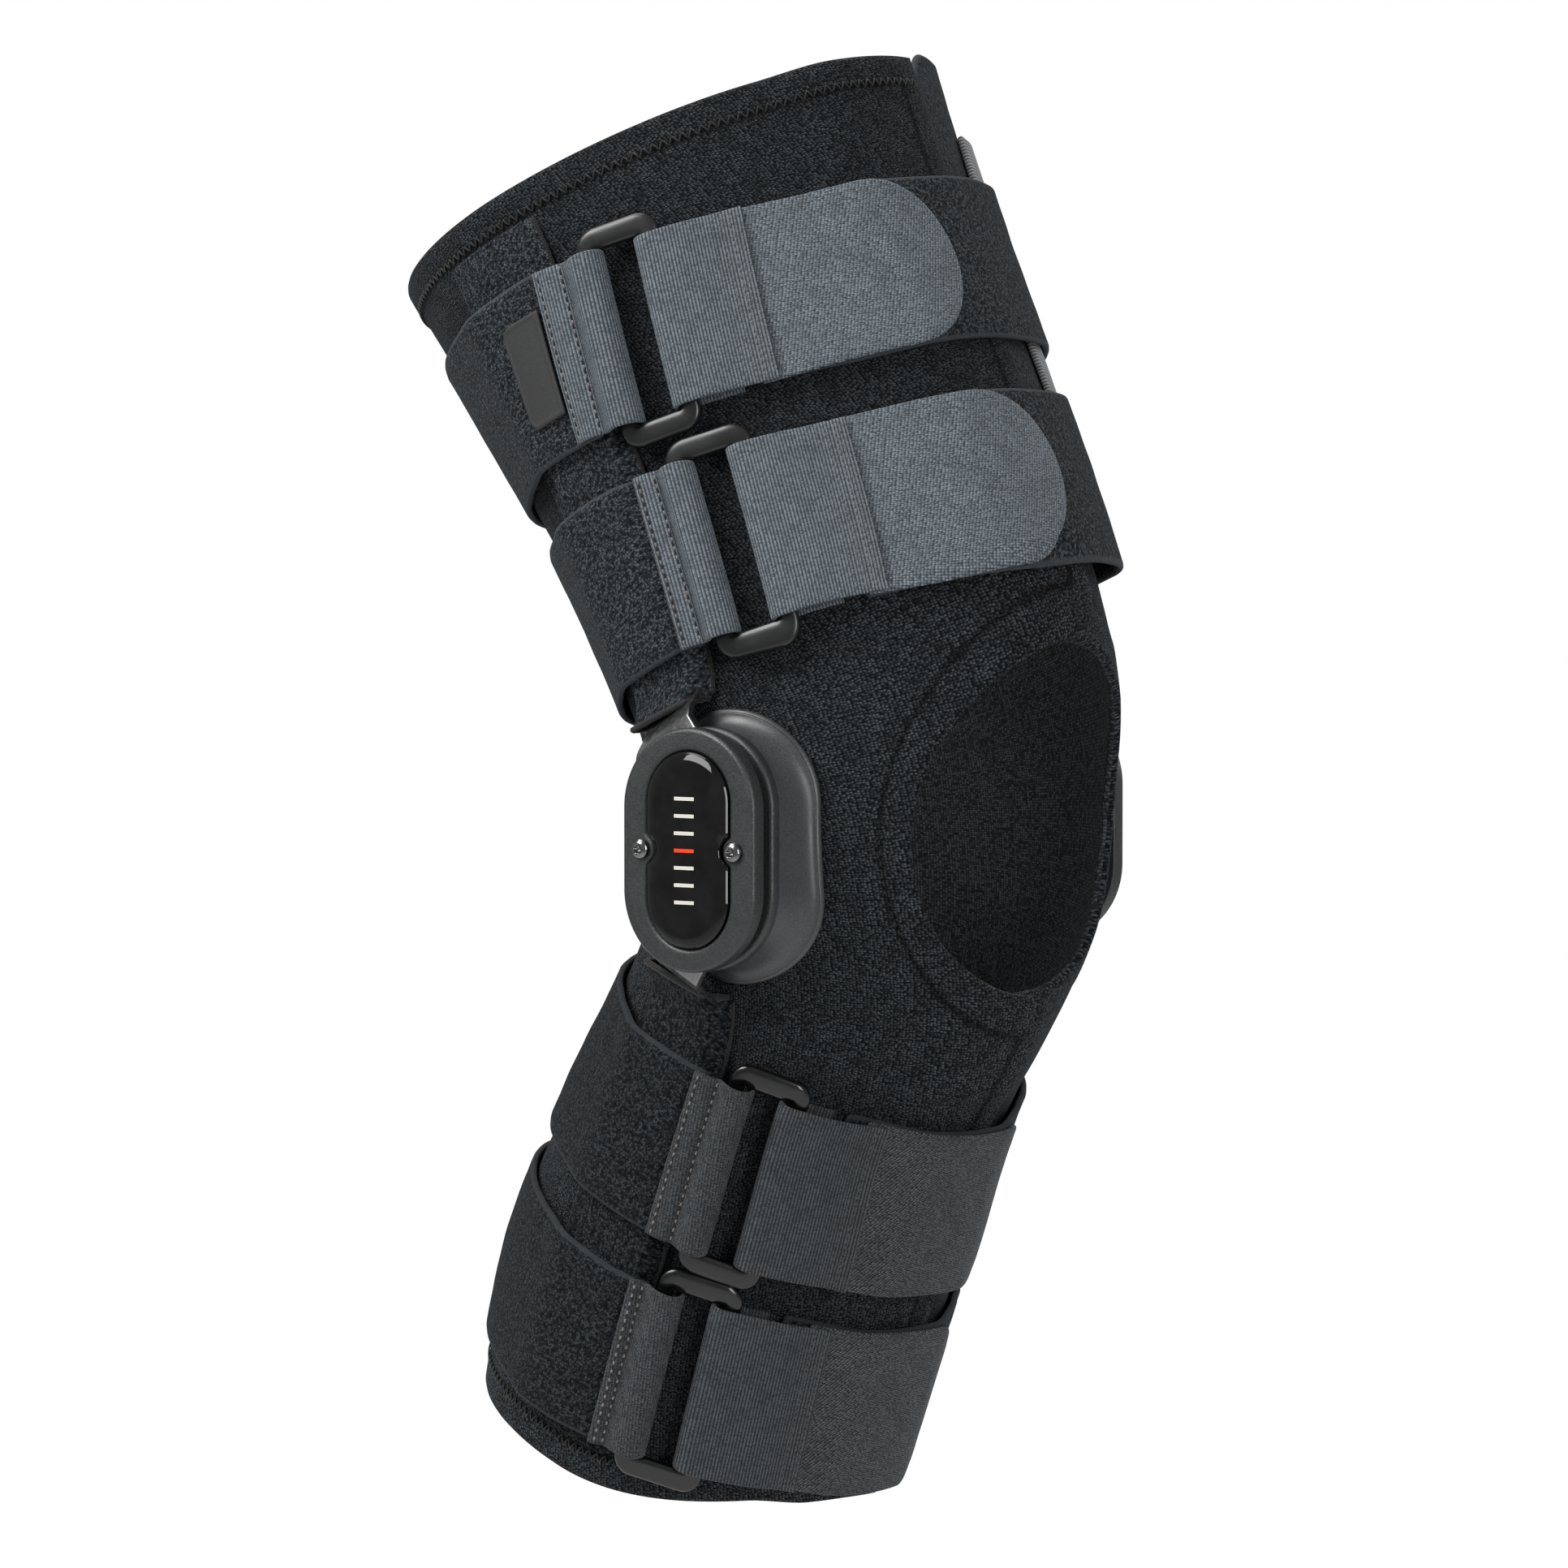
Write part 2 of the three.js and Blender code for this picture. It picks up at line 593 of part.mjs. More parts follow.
const notches = (radius, from, to) =>
  [-1, 1].map((side) => toSolid(post(side * SCREW.x, 0, radius, from, to, 14)));
const without = (solid, cutters) => cutters.reduce((left, cutter) => left.subtract(cutter), solid);

// Cover with a shallow recess for the badge, narrowed beside the two screws
function hingeCover() {
  const floor = COVER_FACE - BADGE.recess;
  const recess = without(
    toSolid(plate(BADGE, [[0, floor], [0, COVER_FACE + CUT]])),
    notches(BADGE.notch - GAP, floor - 1, COVER_FACE + CUT + 1),
  );
  const { edge, lip } = COVER;
  const rows = [
    [lip, COVER_BACK], [0, COVER_BACK + lip],
    [0, COVER_FACE - edge], [0.3 * edge, COVER_FACE - 0.3 * edge], [edge, COVER_FACE],
  ];
  return fromSolid(toSolid(plate(COVER, rows)).subtract(recess));
}

function hingeBadge() {
  const size = { halfWidth: BADGE.halfWidth - GAP, halfHeight: BADGE.halfHeight - GAP };
  const back = COVER_FACE - BADGE.recess + 0.1;
  const top = COVER_FACE + BADGE.dome;
  const { dome, shoulder, crown, notch } = BADGE;
  const rows = [[0, back], [0, COVER_FACE + 0.1 * dome], [shoulder, top - 0.3 * dome], [crown, top]];
  return fromSolid(without(toSolid(plate(size, rows)), notches(notch, back - CUT, COVER_FACE + CUT)));
}

// Button-head screw with a recessed socket, turned about its own axis
function hingeScrew(side) {
  const { head, height, socket } = SCREW;
  const profile = [
    [0, 0.1], [head, 0.1], [head, 0.35 * height], [0.82 * head, 0.78 * height], [0.55 * head, height],
    [socket, height], [socket, 0.45 * height], [0, 0.45 * height],
  ].map(([r, z]) => new THREE.Vector2(r, z));
  const geometry = new THREE.LatheGeometry(profile, 10);
  return geometry.rotateX(Math.PI).translate(side * SCREW.x, -COVER_FACE, 0);
}

for (const side of ["outer", "inner"]) {
  const inner = side === "inner";
  const named = (piece) => `${side}_${piece}`;
  add(named("thigh_pocket"), pocket(1), FINISH.plush, inner);
  add(named("calf_pocket"), pocket(-1), FINISH.plush, inner);
  add(named("hinge_pad"), hingePad(), FINISH.pad, inner);
  add(named("hinge_plate"), hingePlate(), FINISH.cover, inner);
  add(named("hinge_upper_arm"), arm(1), FINISH.arm, inner);
  add(named("hinge_lower_arm"), arm(-1), FINISH.arm, inner);
  add(named("hinge_cover"), hingeCover(), FINISH.cover, inner);
  add(named("hinge_badge"), hingeBadge(), FINISH.badge, inner);
  add(named("hinge_screw_front"), hingeScrew(1), FINISH.screw, inner);
  add(named("hinge_screw_back"), hingeScrew(-1), FINISH.screw, inner);
}

// A point on a strap: its angle round the leg, its distance from the strap's middle line, and its height
function onStrap(strap, angle, across, height) {
  const turned = angle + strap.skew * across;
  const drop = strap.frontDrop * Math.max(0, Math.cos(rad(turned)));
  return onLeg(strap.middle - drop + across, turned, height);
}

// Heights that a strap meets on its way from the outer pocket round the back to the ring
function strapBed(strap) {
  const outer = POCKET_BED.map(({ across, height }) => ({ angle: besideArm(strap.middle, across), height }));
  const inner = outer.map(({ angle, height }) => ({ angle: 360 - angle, height })).reverse();
  return [...outer, ...inner, ...FRONT_BED[strap.on], ...LAP_BED];
}
for (const strap of STRAPS) strap.bed = strapBed(strap);

const bedHeight = (strap, angle) => between(strap.bed, "angle", "height", angle < BED_START ? angle + 360 : angle);
const bandTop = (strap, angle) => bedHeight(strap, angle) + GAP + BAND_WALL;

// Degrees of strap that a length takes at the ring
const ringDegrees = (strap, length) => deg(length / (legSize("side", strap.middle) + 8));
const RING_HEIGHT = SLEEVE_TOP + GAP + WEB_WALL / 2 + LOOP_RADIUS; // middle of the ring's bars

// Webbing of the strap's width from a path of angles and heights along its middle
function webbing(strap, path, thick) {
  const scale = legSize("side", strap.middle) + 8;
  const normals = path.map((_, k) => {
    const a = path[Math.max(k - 1, 0)];
    const b = path[Math.min(k + 1, path.length - 1)];
    const along = new THREE.Vector2(rad(b.angle - a.angle) * scale, b.height - a.height).normalize();
    return new THREE.Vector2(-along.y, along.x);
  });
  return wall(path.length, 2, (i, j, face) => {
    const { angle, height } = path[i];
    const shift = normals[i].clone().multiplyScalar((face - 0.5) * thick);
    return onStrap(strap, angle + deg(shift.x / scale), (j - 0.5) * STRAP_WIDTH, height + shift.y);
  });
}

// Half turn of webbing round one of the ring's bars, from below to above when towards is 1
function barLoop(strap, barAngle, towards) {
  const steps = 6;
  return Array.from({ length: steps + 1 }, (_, k) => {
    const turn = (Math.PI * k) / steps;
    return {
      angle: barAngle + towards * ringDegrees(strap, LOOP_RADIUS * Math.sin(turn)),
      height: RING_HEIGHT - LOOP_RADIUS * Math.cos(turn),
    };
  });
}

// Fills the spaces between angles with even steps
function evenly(angles, step) {
  return angles.flatMap((angle, k) => {
    const next = angles[k + 1] ?? angle;
    const parts = Math.max(1, Math.round(Math.abs(next - angle) / step));
    return Array.from({ length: parts }, (_, part) => angle + ((next - angle) * part) / parts);
  });
}

// Degrees that a strap's edge shifts along the leg to stay with the slanting pockets that it crosses
function pocketTurn(strap, across, angle) {
  const { smoothstep } = THREE.MathUtils;
  const side = Math.min(angle, 360 - angle);
  const share = smoothstep(side, 70, 80) * (1 - smoothstep(side, 130, 175));
  const turn = armAngle(strap.middle + across) - armAngle(strap.middle);
  return Math.sign(180 - angle) * share * turn;
}

// Plush band round the back, the inner side and the front, as a wall on its bed
function strapBand(strap, start, end) {
  const knots = strap.bed.map((row) => row.angle).filter((angle) => angle > start && angle < end);
  const angles = evenly([start, ...knots, end], 10);
  return wall(angles.length, 3, (i, j, face) => {
    const across = ((j - 1) * STRAP_WIDTH) / 2;
    const angle = angles[i] + pocketTurn(strap, across, angles[i]);
    return onStrap(strap, angle, across, bedHeight(strap, angles[i]) + GAP + face * BAND_WALL);
  });
}

// Rounded frame that follows the leg
function strapRing(strap) {
  const outline = (halfWidth, halfLength, corner, path) => {
    path.moveTo(halfWidth, -halfLength + corner);
    path.absarc(halfWidth - corner, halfLength - corner, corner, 0, Math.PI / 2, false);
    path.absarc(-halfWidth + corner, halfLength - corner, corner, Math.PI / 2, Math.PI, false);
    path.absarc(-halfWidth + corner, -halfLength + corner, corner, Math.PI, 1.5 * Math.PI, false);
    path.absarc(halfWidth - corner, -halfLength + corner, corner, 1.5 * Math.PI, 2 * Math.PI, false);
    return path;
  };
  const bevel = RING_BEVEL;
  const outer = [RING_PITCH / 2 + RING_BAR / 2 - bevel, RING_LENGTH / 2 - bevel];
  const inner = [RING_PITCH / 2 - RING_BAR / 2 + bevel, RING_LENGTH / 2 - RING_BAR + bevel];
  const shape = outline(...outer, RING_CORNER - bevel, new THREE.Shape());
  shape.holes.push(outline(...inner, RING_CORNER - RING_BAR + bevel, new THREE.Path()));
  const geometry = new THREE.ExtrudeGeometry(shape, {
    depth: RING_BAR - 2 * bevel, bevelThickness: bevel, bevelSize: bevel, bevelSegments: 1, curveSegments: 2,
  });
  const place = geometry.attributes.position;
  for (let k = 0; k < place.count; k++) {
    const angle = strap.ringAngle - ringDegrees(strap, place.getX(k));
    const height = RING_HEIGHT + place.getZ(k) - (RING_BAR / 2 - bevel);
    const point = onStrap(strap, angle, place.getY(k), height);
    place.setXYZ(k, point.x, point.y, point.z);
  }
  return fromSolid(toSolid(geometry));
}

// Hook tab on the band, with its free end rounded
function hookTab(strap, start) {
  const reach = ringDegrees(strap, strap.cornerRadius);
  const straightEnd = strap.tabEnd + reach;
  const rounding = [0, 25, 45, 62, 76, 86].map((turn) => straightEnd - reach * Math.sin(rad(turn)));
  const knots = LAP_BED.map((row) => row.angle - 360).filter(
    (knot) => knot < start - 1 && rounding.every((angle) => Math.abs(angle - knot) > 1) && knot > strap.tabEnd,
  );
  const stops = [start, ...knots, ...rounding].sort((a, b) => b - a);
  const angles = evenly(stops, 8);
  const half = angles.map((angle) => {
    const share = Math.max(0, (straightEnd - angle) / reach);
    return STRAP_WIDTH / 2 - strap.cornerRadius * (1 - Math.sqrt(Math.max(0, 1 - share * share)));
  });
  return wall(angles.length, 3, (i, j, face) =>
    onStrap(strap, angles[i], (j - 1) * half[i], bandTop(strap, angles[i]) + 2 * GAP + face * WEB_WALL),
  );
}

for (const strap of STRAPS) {
  const named = (piece) => `${strap.name}_${piece}`;
  const backBar = strap.ringAngle + ringDegrees(strap, RING_PITCH / 2);
  const frontBar = strap.ringAngle - ringDegrees(strap, RING_PITCH / 2);
  const lowHeight = RING_HEIGHT - LOOP_RADIUS;
  const bandStart = strap.keeperEnd - KEEPER_LAP;
  const foldEnd = frontBar - ringDegrees(strap, FOLD_LENGTH);

  const straight = { ...strap, skew: 0 };
  add(named("band"), strapBand(straight, bandStart, foldEnd - BAND_SPACE + 360), FINISH.plush);
  add(named("ring"), strapRing(strap), FINISH.ring);

  // Keeper: folded round the back bar, its end sewn on the band
  const keeperTop = bandTop(strap, strap.keeperEnd) + 2 * GAP + WEB_WALL / 2;
  const keeperPath = [
    { angle: backBar + ringDegrees(strap, 2 * GAP), height: lowHeight },
    ...barLoop(strap, backBar, -1),
    { angle: bandStart - 0.8, height: Math.max(keeperTop, RING_HEIGHT + LOOP_RADIUS) },
    { angle: strap.keeperEnd, height: keeperTop },
  ];
  add(named("keeper"), webbing(strap, keeperPath, WEB_WALL), FINISH.web);

  // Elastic: folded round the front bar, its end sewn over the hook tab
  const tabStart = strap.seam + SEAM_LAP;
  const overTab = (angle) => bandTop(strap, angle - 2) + 3.5 * GAP + 1.5 * WEB_WALL;
  const foldTop = RING_HEIGHT + LOOP_RADIUS;
  const elasticPath = [
    { angle: foldEnd, height: lowHeight },
    { angle: (foldEnd + frontBar) / 2, height: lowHeight },
    ...barLoop(strap, frontBar, 1),
    { angle: THREE.MathUtils.lerp(frontBar, tabStart, 0.35), height: foldTop - 0.5 },
    { angle: THREE.MathUtils.lerp(frontBar, tabStart, 0.75), height: overTab(tabStart) + 1 },
    { angle: tabStart, height: overTab(tabStart) + 0.1 },
    { angle: strap.seam, height: overTab(strap.seam) + 0.05 },
  ];
  add(named("elastic"), webbing(strap, elasticPath, WEB_WALL), FINISH.web);
  add(named("hook_tab"), hookTab(straight, tabStart + 1), FINISH.hook);
}

// Plain rubber label on the upper thigh band, beside the keeper
function label() {
  const strap = STRAPS[0];
  const steps = 4;
  const rows = 4;
  return wall(steps + 1, rows, (i, j, face) => {
    const angle = LABEL.from + ((LABEL.to - LABEL.from) * i) / steps;
    const inset = i === steps ? LABEL.corner : 0;
    const low = LABEL.bottom + inset;
    const across = low + ((LABEL.top - inset - low) * j) / (rows - 1) - strap.middle;
    return onStrap(strap, angle, across, bandTop(strap, angle) + GAP + face * LABEL.wall);
  });
}
add("thigh_upper_label", label(), FINISH.label);

export default brace;
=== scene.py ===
# Hinged knee brace for a right leg: its cloth, webbing, plastics and stitching, in a plain studio.
# Sizes are millimetres, and become metres where a mesh is made.
import math
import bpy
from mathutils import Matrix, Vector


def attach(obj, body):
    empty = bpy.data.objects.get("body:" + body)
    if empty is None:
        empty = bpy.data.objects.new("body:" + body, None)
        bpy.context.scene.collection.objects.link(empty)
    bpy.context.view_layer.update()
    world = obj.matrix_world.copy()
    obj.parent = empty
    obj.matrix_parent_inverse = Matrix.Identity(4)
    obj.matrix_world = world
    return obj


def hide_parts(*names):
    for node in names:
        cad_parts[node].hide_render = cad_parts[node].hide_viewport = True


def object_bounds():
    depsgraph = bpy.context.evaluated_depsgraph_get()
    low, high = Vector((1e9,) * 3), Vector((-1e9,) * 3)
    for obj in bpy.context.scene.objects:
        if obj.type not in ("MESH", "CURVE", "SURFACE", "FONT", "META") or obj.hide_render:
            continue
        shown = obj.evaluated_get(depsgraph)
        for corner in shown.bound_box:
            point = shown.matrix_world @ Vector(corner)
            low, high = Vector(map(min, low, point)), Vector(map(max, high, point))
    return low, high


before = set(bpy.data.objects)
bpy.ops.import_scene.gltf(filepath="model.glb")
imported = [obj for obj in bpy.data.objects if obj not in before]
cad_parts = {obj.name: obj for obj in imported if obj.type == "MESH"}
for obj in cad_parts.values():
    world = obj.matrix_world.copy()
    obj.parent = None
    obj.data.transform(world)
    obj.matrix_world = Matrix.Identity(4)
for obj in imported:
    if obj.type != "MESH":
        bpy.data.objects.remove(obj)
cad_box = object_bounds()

from types import SimpleNamespace as Sizes

import bpy
import numpy as np
from mathutils import Matrix, Vector

MM = 0.001

# The leg's line, and the layers worn on it
THIGH_LEAN = 25
SHANK_LEAN = 24
BEND_REACH = 52
GAP = 0.3
SLEEVE_WALL = 3
BAND_WALL = 2
WEB_WALL = 1.4
STRAP_WIDTH = 50
HEM = Sizes(rise=0.6, width=10, seam=8.9, groove=0.5, groove_width=0.75)
FACET_ROOM = 0.5
LAYER_ROOM = 0.6

# Half sizes of the bare leg by distance along its line from the knee: station, front, back, side
LEG_COLUMNS = ("station", "front", "back", "side")
LEG_SECTIONS = np.array([
    (-218, 56, 51.5, 58),
    (-156, 51, 66, 60.5),
    (-104, 47.5, 64.5, 61.5),
    (-57, 46, 58.5, 61.5),
    (0, 65, 59.5, 64.5),
    (52, 74, 56.5, 66),
    (104, 75.5, 60, 69),
    (156, 76, 70.5, 72),
    (218, 80, 84, 75),
])

# Straps: angles run from 0 at the front through 90 at the outer side
STRAPS = [
    Sizes(name="thigh_upper", middle=146, front_drop=8, skew=-0.1, ring_angle=73.2,
          keeper_end=90, seam=48.5, tab_end=5, corner=25, roll=5.4, on="thigh"),
    Sizes(name="thigh_lower", middle=81.2, front_drop=8.8, skew=-0.08, ring_angle=71.5,
          keeper_end=86.5, seam=44, tab_end=-3, corner=25, roll=4.2, on="thigh"),
    Sizes(name="calf_upper", middle=-87.5, front_drop=0, skew=0.045, ring_angle=63,
          keeper_end=83.5, seam=29, tab_end=-20, corner=9, roll=7.4, on="calf"),
    Sizes(name="calf_lower", middle=-152.3, front_drop=-3.5, skew=0.057, ring_angle=62.5,
          keeper_end=80.5, seam=27, tab_end=-16, corner=9, roll=8, on="calf"),
]
RING = Sizes(bar=4, face=5, crown=0.62, pitch=18, length=62, corner=5.8, broad=0.3, out=8)
RING_SPREAD = {"thigh": 0, "calf": 2.4}
LOOP_RADIUS = 3.9
FOLD_LENGTH = 15
ROLL = Sizes(rise=1.2, dip=2.6, flat=2.2)
# Sewing across a strap: its rows' pitch and half length, the share a thread fills, and the thread's radius
KEEPER = Sizes(lap=3, seam=1.9, pitch=2.6, half=24, fill=0.45, shift=0, thread=0.3)
# Black dashes in the gaps between the light keeper stitches: painted shade in the stitch holes.
KEEPER_HOLE_SHADE = Sizes(pitch=2.6, half=24, fill=0.62, shift=0.42, thread=0.36)
SEAM = Sizes(lap=5, pitch=1.9, half=23.5, fill=0.6, shift=0, thread=0.2, rows=(1.4, 2.7, 4.0, 5.3, 6.6, 9.4))
BAND_SPACE = 2.5
WAVE = Sizes(height=0.22, length=9.5)
RIB = Sizes(pitch=0.95, height=0.06, step=0.21)

# Sleeve edges
TOP_EDGE = Sizes(station=199, rise=2)
BOTTOM_EDGE = Sizes(station=-193, rise=15)
OUTER_FRONT_EDGE = -8
INNER_FRONT_EDGE = 372
KNEECAP = Sizes(station=3, half_height=32.5, half_angle=47.2, corner=9)
KNEECAP_REACH = KNEECAP.half_height + KNEECAP.corner
OVERLAP_LIFT = SLEEVE_WALL + HEM.rise + GAP
LIFT_START = 34
LIFT_END = 17
SLEEVE_GRID = Sizes(step=2.6, columns=172, fine=(0, 0.2, 0.68, 1.5))
FOLDS = Sizes(reach=30, half_angle=52, depth=0.9, relief=0.55)
ZIGZAG = (7.3, 9.7)
KNEE_STITCH = Sizes(pitch=2.2, sunk=-0.75, fill=0.7)
HEM_THREAD = 0.24

# Closure on the front of the thigh
FLAP = Sizes(start=-9.5, end=-56, bottom=58, top=204, wall=2, corner=12)
STRIP = Sizes(start=-24, end=-46, bottom=62, top=180, wall=2.5, corner=1.5, rib=0.95)
FLAP_BASE = SLEEVE_WALL + HEM.rise + GAP
STRIP_BASE = FLAP_BASE + FLAP.wall + GAP
PANEL = Sizes(out=8, wave=0.35)

# Hinge arms in their pockets, and the hinge
ARM = Sizes(width=23, wall=3, edge=0.6, end=158, clear=0.4, seat=46, leaving=1.9, pivot=13)
# Angle of an arm's middle, its turn per millimetre further on, and how far behind that it starts
UPPER_ARM = Sizes(angle=97.3, turn=0, bend=5.7, reach=18)
LOWER_ARM = Sizes(angle=97.4, turn=-0.046, bend=2.2, reach=8)
POCKET = Sizes(front=-15.6, back=20.5, channel=12.2, shoulder=1.6, sag=0.5, wall=1.5, corner=2.5,
               mouth=45, lip=8, hem_space=1, flare=2, droop=3, margin=3)
OVERLOCK = Sizes(turn=0.8, step=0.2, start=1.5, inset=0.35, side=0.75, mouth=0.95)
COVER = Sizes(half_width=22.6, half_height=34, wall=5.2, edge=1.3, lip=0.6)
PLATE = Sizes(wall=3.6, edge=1.3, lip=0.4)
BADGE = Sizes(half_width=14.2, half_height=27.6, recess=1, seat=0.1, dome=1.8, notch=4.3, crown=4.2,
              slant=0.4, slant_rise=0.47, crest=0.25)
# Edge of the badge's recess: distance outside it, depth
RECESS_ROWS = ((1.6, 0), (0.9, 0), (0.6, 0.1), (0.15, 0.55), (0, 0.8), (0, BADGE.recess))
SCALE = Sizes(pitch=4.8, mark=1, half_width=3.4, half_height=16.9)
PAD = Sizes(half_width=26, half_height=38.6, rim=2.2, neck=0.8)
SCREW = Sizes(x=15.9, head=2.9, height=2.2, socket=1.3)
PAD_FACE = 78.7
PLATE_FACE = PAD_FACE + GAP + PLATE.wall
ARM_FACE = PLATE_FACE + GAP + ARM.wall
COVER_BACK = ARM_FACE + GAP
COVER_FACE = COVER_BACK + COVER.wall
LABEL = Sizes(start=90.9, end=101, bottom=131, top=161, wall=1.2, corner=3.5, rim=0.2, out=4)

# Heights above the bare leg of what a strap lies on
SLEEVE_TOP = SLEEVE_WALL + FACET_ROOM
CHANNEL_TOP = SLEEVE_WALL + ARM.wall + 2 * ARM.clear + 1.2
POCKET_TOP = CHANNEL_TOP + POCKET.wall + LAYER_ROOM
OVERLAP_TOP = OVERLAP_LIFT + SLEEVE_WALL + HEM.rise + LAYER_ROOM
FLAP_TOP = FLAP_BASE + FLAP.wall + LAYER_ROOM
STRIP_TOP = STRIP_BASE + STRIP.wall + LAYER_ROOM
POCKET_EDGE = POCKET.channel + 2 * GAP
RING_HEIGHT = SLEEVE_TOP + GAP + WEB_WALL / 2 + LOOP_RADIUS
RING_LOW = RING_HEIGHT - LOOP_RADIUS
RING_HIGH = RING_HEIGHT + LOOP_RADIUS
BED_START = 72
# Over a pocket: distance across it from the middle of the arm, height
POCKET_BED = [
    (-17, SLEEVE_WALL + POCKET.wall + 3.5 * GAP),
    (-POCKET_EDGE, POCKET_TOP), (0, POCKET_TOP), (POCKET_EDGE, POCKET_TOP),
    (24, 6.4), (38, 4.4), (58, SLEEVE_TOP),
]
# Over the closure at the front and the lap beside it: angle, height
FRONT_BED = {
    "thigh": [(290, SLEEVE_TOP + 1.4), (300, FLAP_TOP), (312, STRIP_TOP - 1), (318, STRIP_TOP),
              (333, STRIP_TOP), (341, STRIP_TOP - 0.8)],
    "calf": [(325, SLEEVE_TOP), (338, 5)],
}
LAP_BED = [(350, OVERLAP_TOP), (378, OVERLAP_TOP), (394, SLEEVE_TOP + 0.6), (403, SLEEVE_TOP),
           (440, SLEEVE_TOP)]

# The photograph's frame: pixels of the whole picture, and where the knee's middle lies in it
PICTURE = 1932
PIXELS_PER_MM = 4.33
KNEE_PIXEL = (1083, 1029)
AZIMUTH = 36
ELEVATION = 3
DISTANCE = 2700

# Studio, in metres: each light's place, target, size and power
FLOOR = Sizes(drop=0.06, radius=0.8, fade=0.1)
ROOM_LIGHT = 0.3
LIGHTS = {
    "key": ((-0.8, -1.8, 1.6), (0, 0, 0.05), (1.4, 1.5), 66),
    "fill": ((2.4, -1.2, 0.4), (0, 0, 0), (0.6, 1.7), 31),
    "top": ((-0.9, -0.2, 2.3), (0, 0, 0), (2.0, 1.4), 30),
    "back": ((0.4, 2.4, 1.2), (0, 0, 0), (1.6, 1.4), 26),
}


def smooth_step(low, high, value):
    t = np.clip((np.asarray(value, float) - low) / (high - low), 0, 1)
    return t * t * (3 - 2 * t)


def arc(count, start=0, end=90):
    return np.radians(np.linspace(start, end, count))


def circle(turns):
    return np.stack([np.cos(turns), np.sin(turns)], axis=-1)


def beside(run):
    """Directions to the right of flat directions."""
    return np.stack([run[:, 1], -run[:, 0]], axis=1)


def unit(vector):
    return vector / np.linalg.norm(vector, axis=-1, keepdims=True)


def run_length(points):
    """Distance along a line of points, at each of them."""
    return np.concatenate([[0], np.cumsum(np.linalg.norm(np.diff(points, axis=0), axis=1))])


def leg_size(column, station):
    """A half size of the leg, on a smooth curve through its sections."""
    knots = LEG_SECTIONS[:, 0]
    sizes = LEG_SECTIONS[:, LEG_COLUMNS.index(column)]
    order = np.arange(len(knots))
    last = order[-1]
    before, after = np.maximum(order - 1, 0), np.minimum(order + 1, last)
    slopes = (sizes[after] - sizes[before]) / (knots[after] - knots[before])
    at = np.clip(station, knots[0], knots[-1])
    i = np.clip(np.searchsorted(knots, at, side="right") - 1, 0, last - 1)
    span = knots[i + 1] - knots[i]
    t = (at - knots[i]) / span
    rise = 3 * t**2 - 2 * t**3
    level = (1 - rise) * sizes[i] + rise * sizes[i + 1]
    return level + (t**3 - 2 * t**2 + t) * span * slopes[i] + (t**3 - t**2) * span * slopes[i + 1]


def leg_depth(station, forward):
    """The leg's half size to the front or the back."""
    return np.where(forward, leg_size("front", station), leg_size("back", station))


def leg_line(station):
    """The leg's middle line: x, z and its lean."""
    start = math.radians((THIGH_LEAN - SHANK_LEAN) / 2)
    turn = math.radians(THIGH_LEAN + SHANK_LEAN) / (2 * BEND_REACH)
    on_arc = np.clip(station, -BEND_REACH, BEND_REACH)
    lean = start + turn * on_arc
    beyond = station - on_arc
    x = (np.cos(lean) - math.cos(start)) / turn - beyond * np.sin(lean)
    z = (np.sin(lean) - math.sin(start)) / turn + beyond * np.cos(lean)
    return x, z, lean


def on_leg(station, angle, height):
    """Points at a height above the bare leg."""
    station, angle, height = np.broadcast_arrays(*(np.asarray(v, float) for v in (station, angle, height)))
    x, z, lean = leg_line(station)
    c = np.cos(np.radians(angle))
    reach = (leg_depth(station, c >= 0) + height) * c
    side = (leg_size("side", station) + height) * np.sin(np.radians(angle))
    return np.stack([x + reach * np.cos(lean), -side, z + reach * np.sin(lean)], axis=-1)


def arm_angle(station):
    """Angle of the middle of a hinge arm and of its pocket."""
    station = np.asarray(station, float)
    beyond = np.abs(station) - POCKET.mouth
    angles = [a.angle + a.turn * beyond + a.bend * np.exp(-beyond / a.reach) for a in (UPPER_ARM, LOWER_ARM)]
    return np.where(station > 0, *angles)


def beside_arm(station, across, steps=40):
    """Angle at a distance behind the middle of an arm, measured round the sleeve."""
    station, across = np.broadcast_arrays(np.asarray(station, float), np.asarray(across, float))
    wide = leg_size("side", station) + SLEEVE_WALL
    angle = arm_angle(station)
    for _ in range(steps):
        turn = np.radians(angle)
        deep = leg_depth(station, angle < 90) + SLEEVE_WALL
        angle = angle + np.degrees(across / steps / np.hypot(deep * np.sin(turn), wide * np.cos(turn)))
    return angle


def side_distance(x, z, height):
    """Distance of the leg's side from the middle plane, under a point of that plane."""
    station = z
    for _ in range(12):
        line_x, line_z, lean = leg_line(station)
        station = station + (z - line_z) * np.cos(lean) - (x - line_x) * np.sin(lean)
    reach = (x - line_x) * np.cos(lean) + (z - line_z) * np.sin(lean)
    half = leg_depth(station, reach >= 0) + height
    return (leg_size("side", station) + height) * np.sqrt(np.clip(1 - (reach / half) ** 2, 0, 1))


# Meshes


def signed_volume(points, faces):
    total = 0.0
    for group in faces:
        for k in range(1, group.shape[1] - 1):
            a, b, c = (points[group[:, corner]] for corner in (0, k, k + 1))
            total += float((a * np.cross(b, c)).sum())
    return total


def linked(name, data):
    """A new object in the scene."""
    made = bpy.data.objects.new(name, data)
    bpy.context.scene.collection.objects.link(made)
    return made


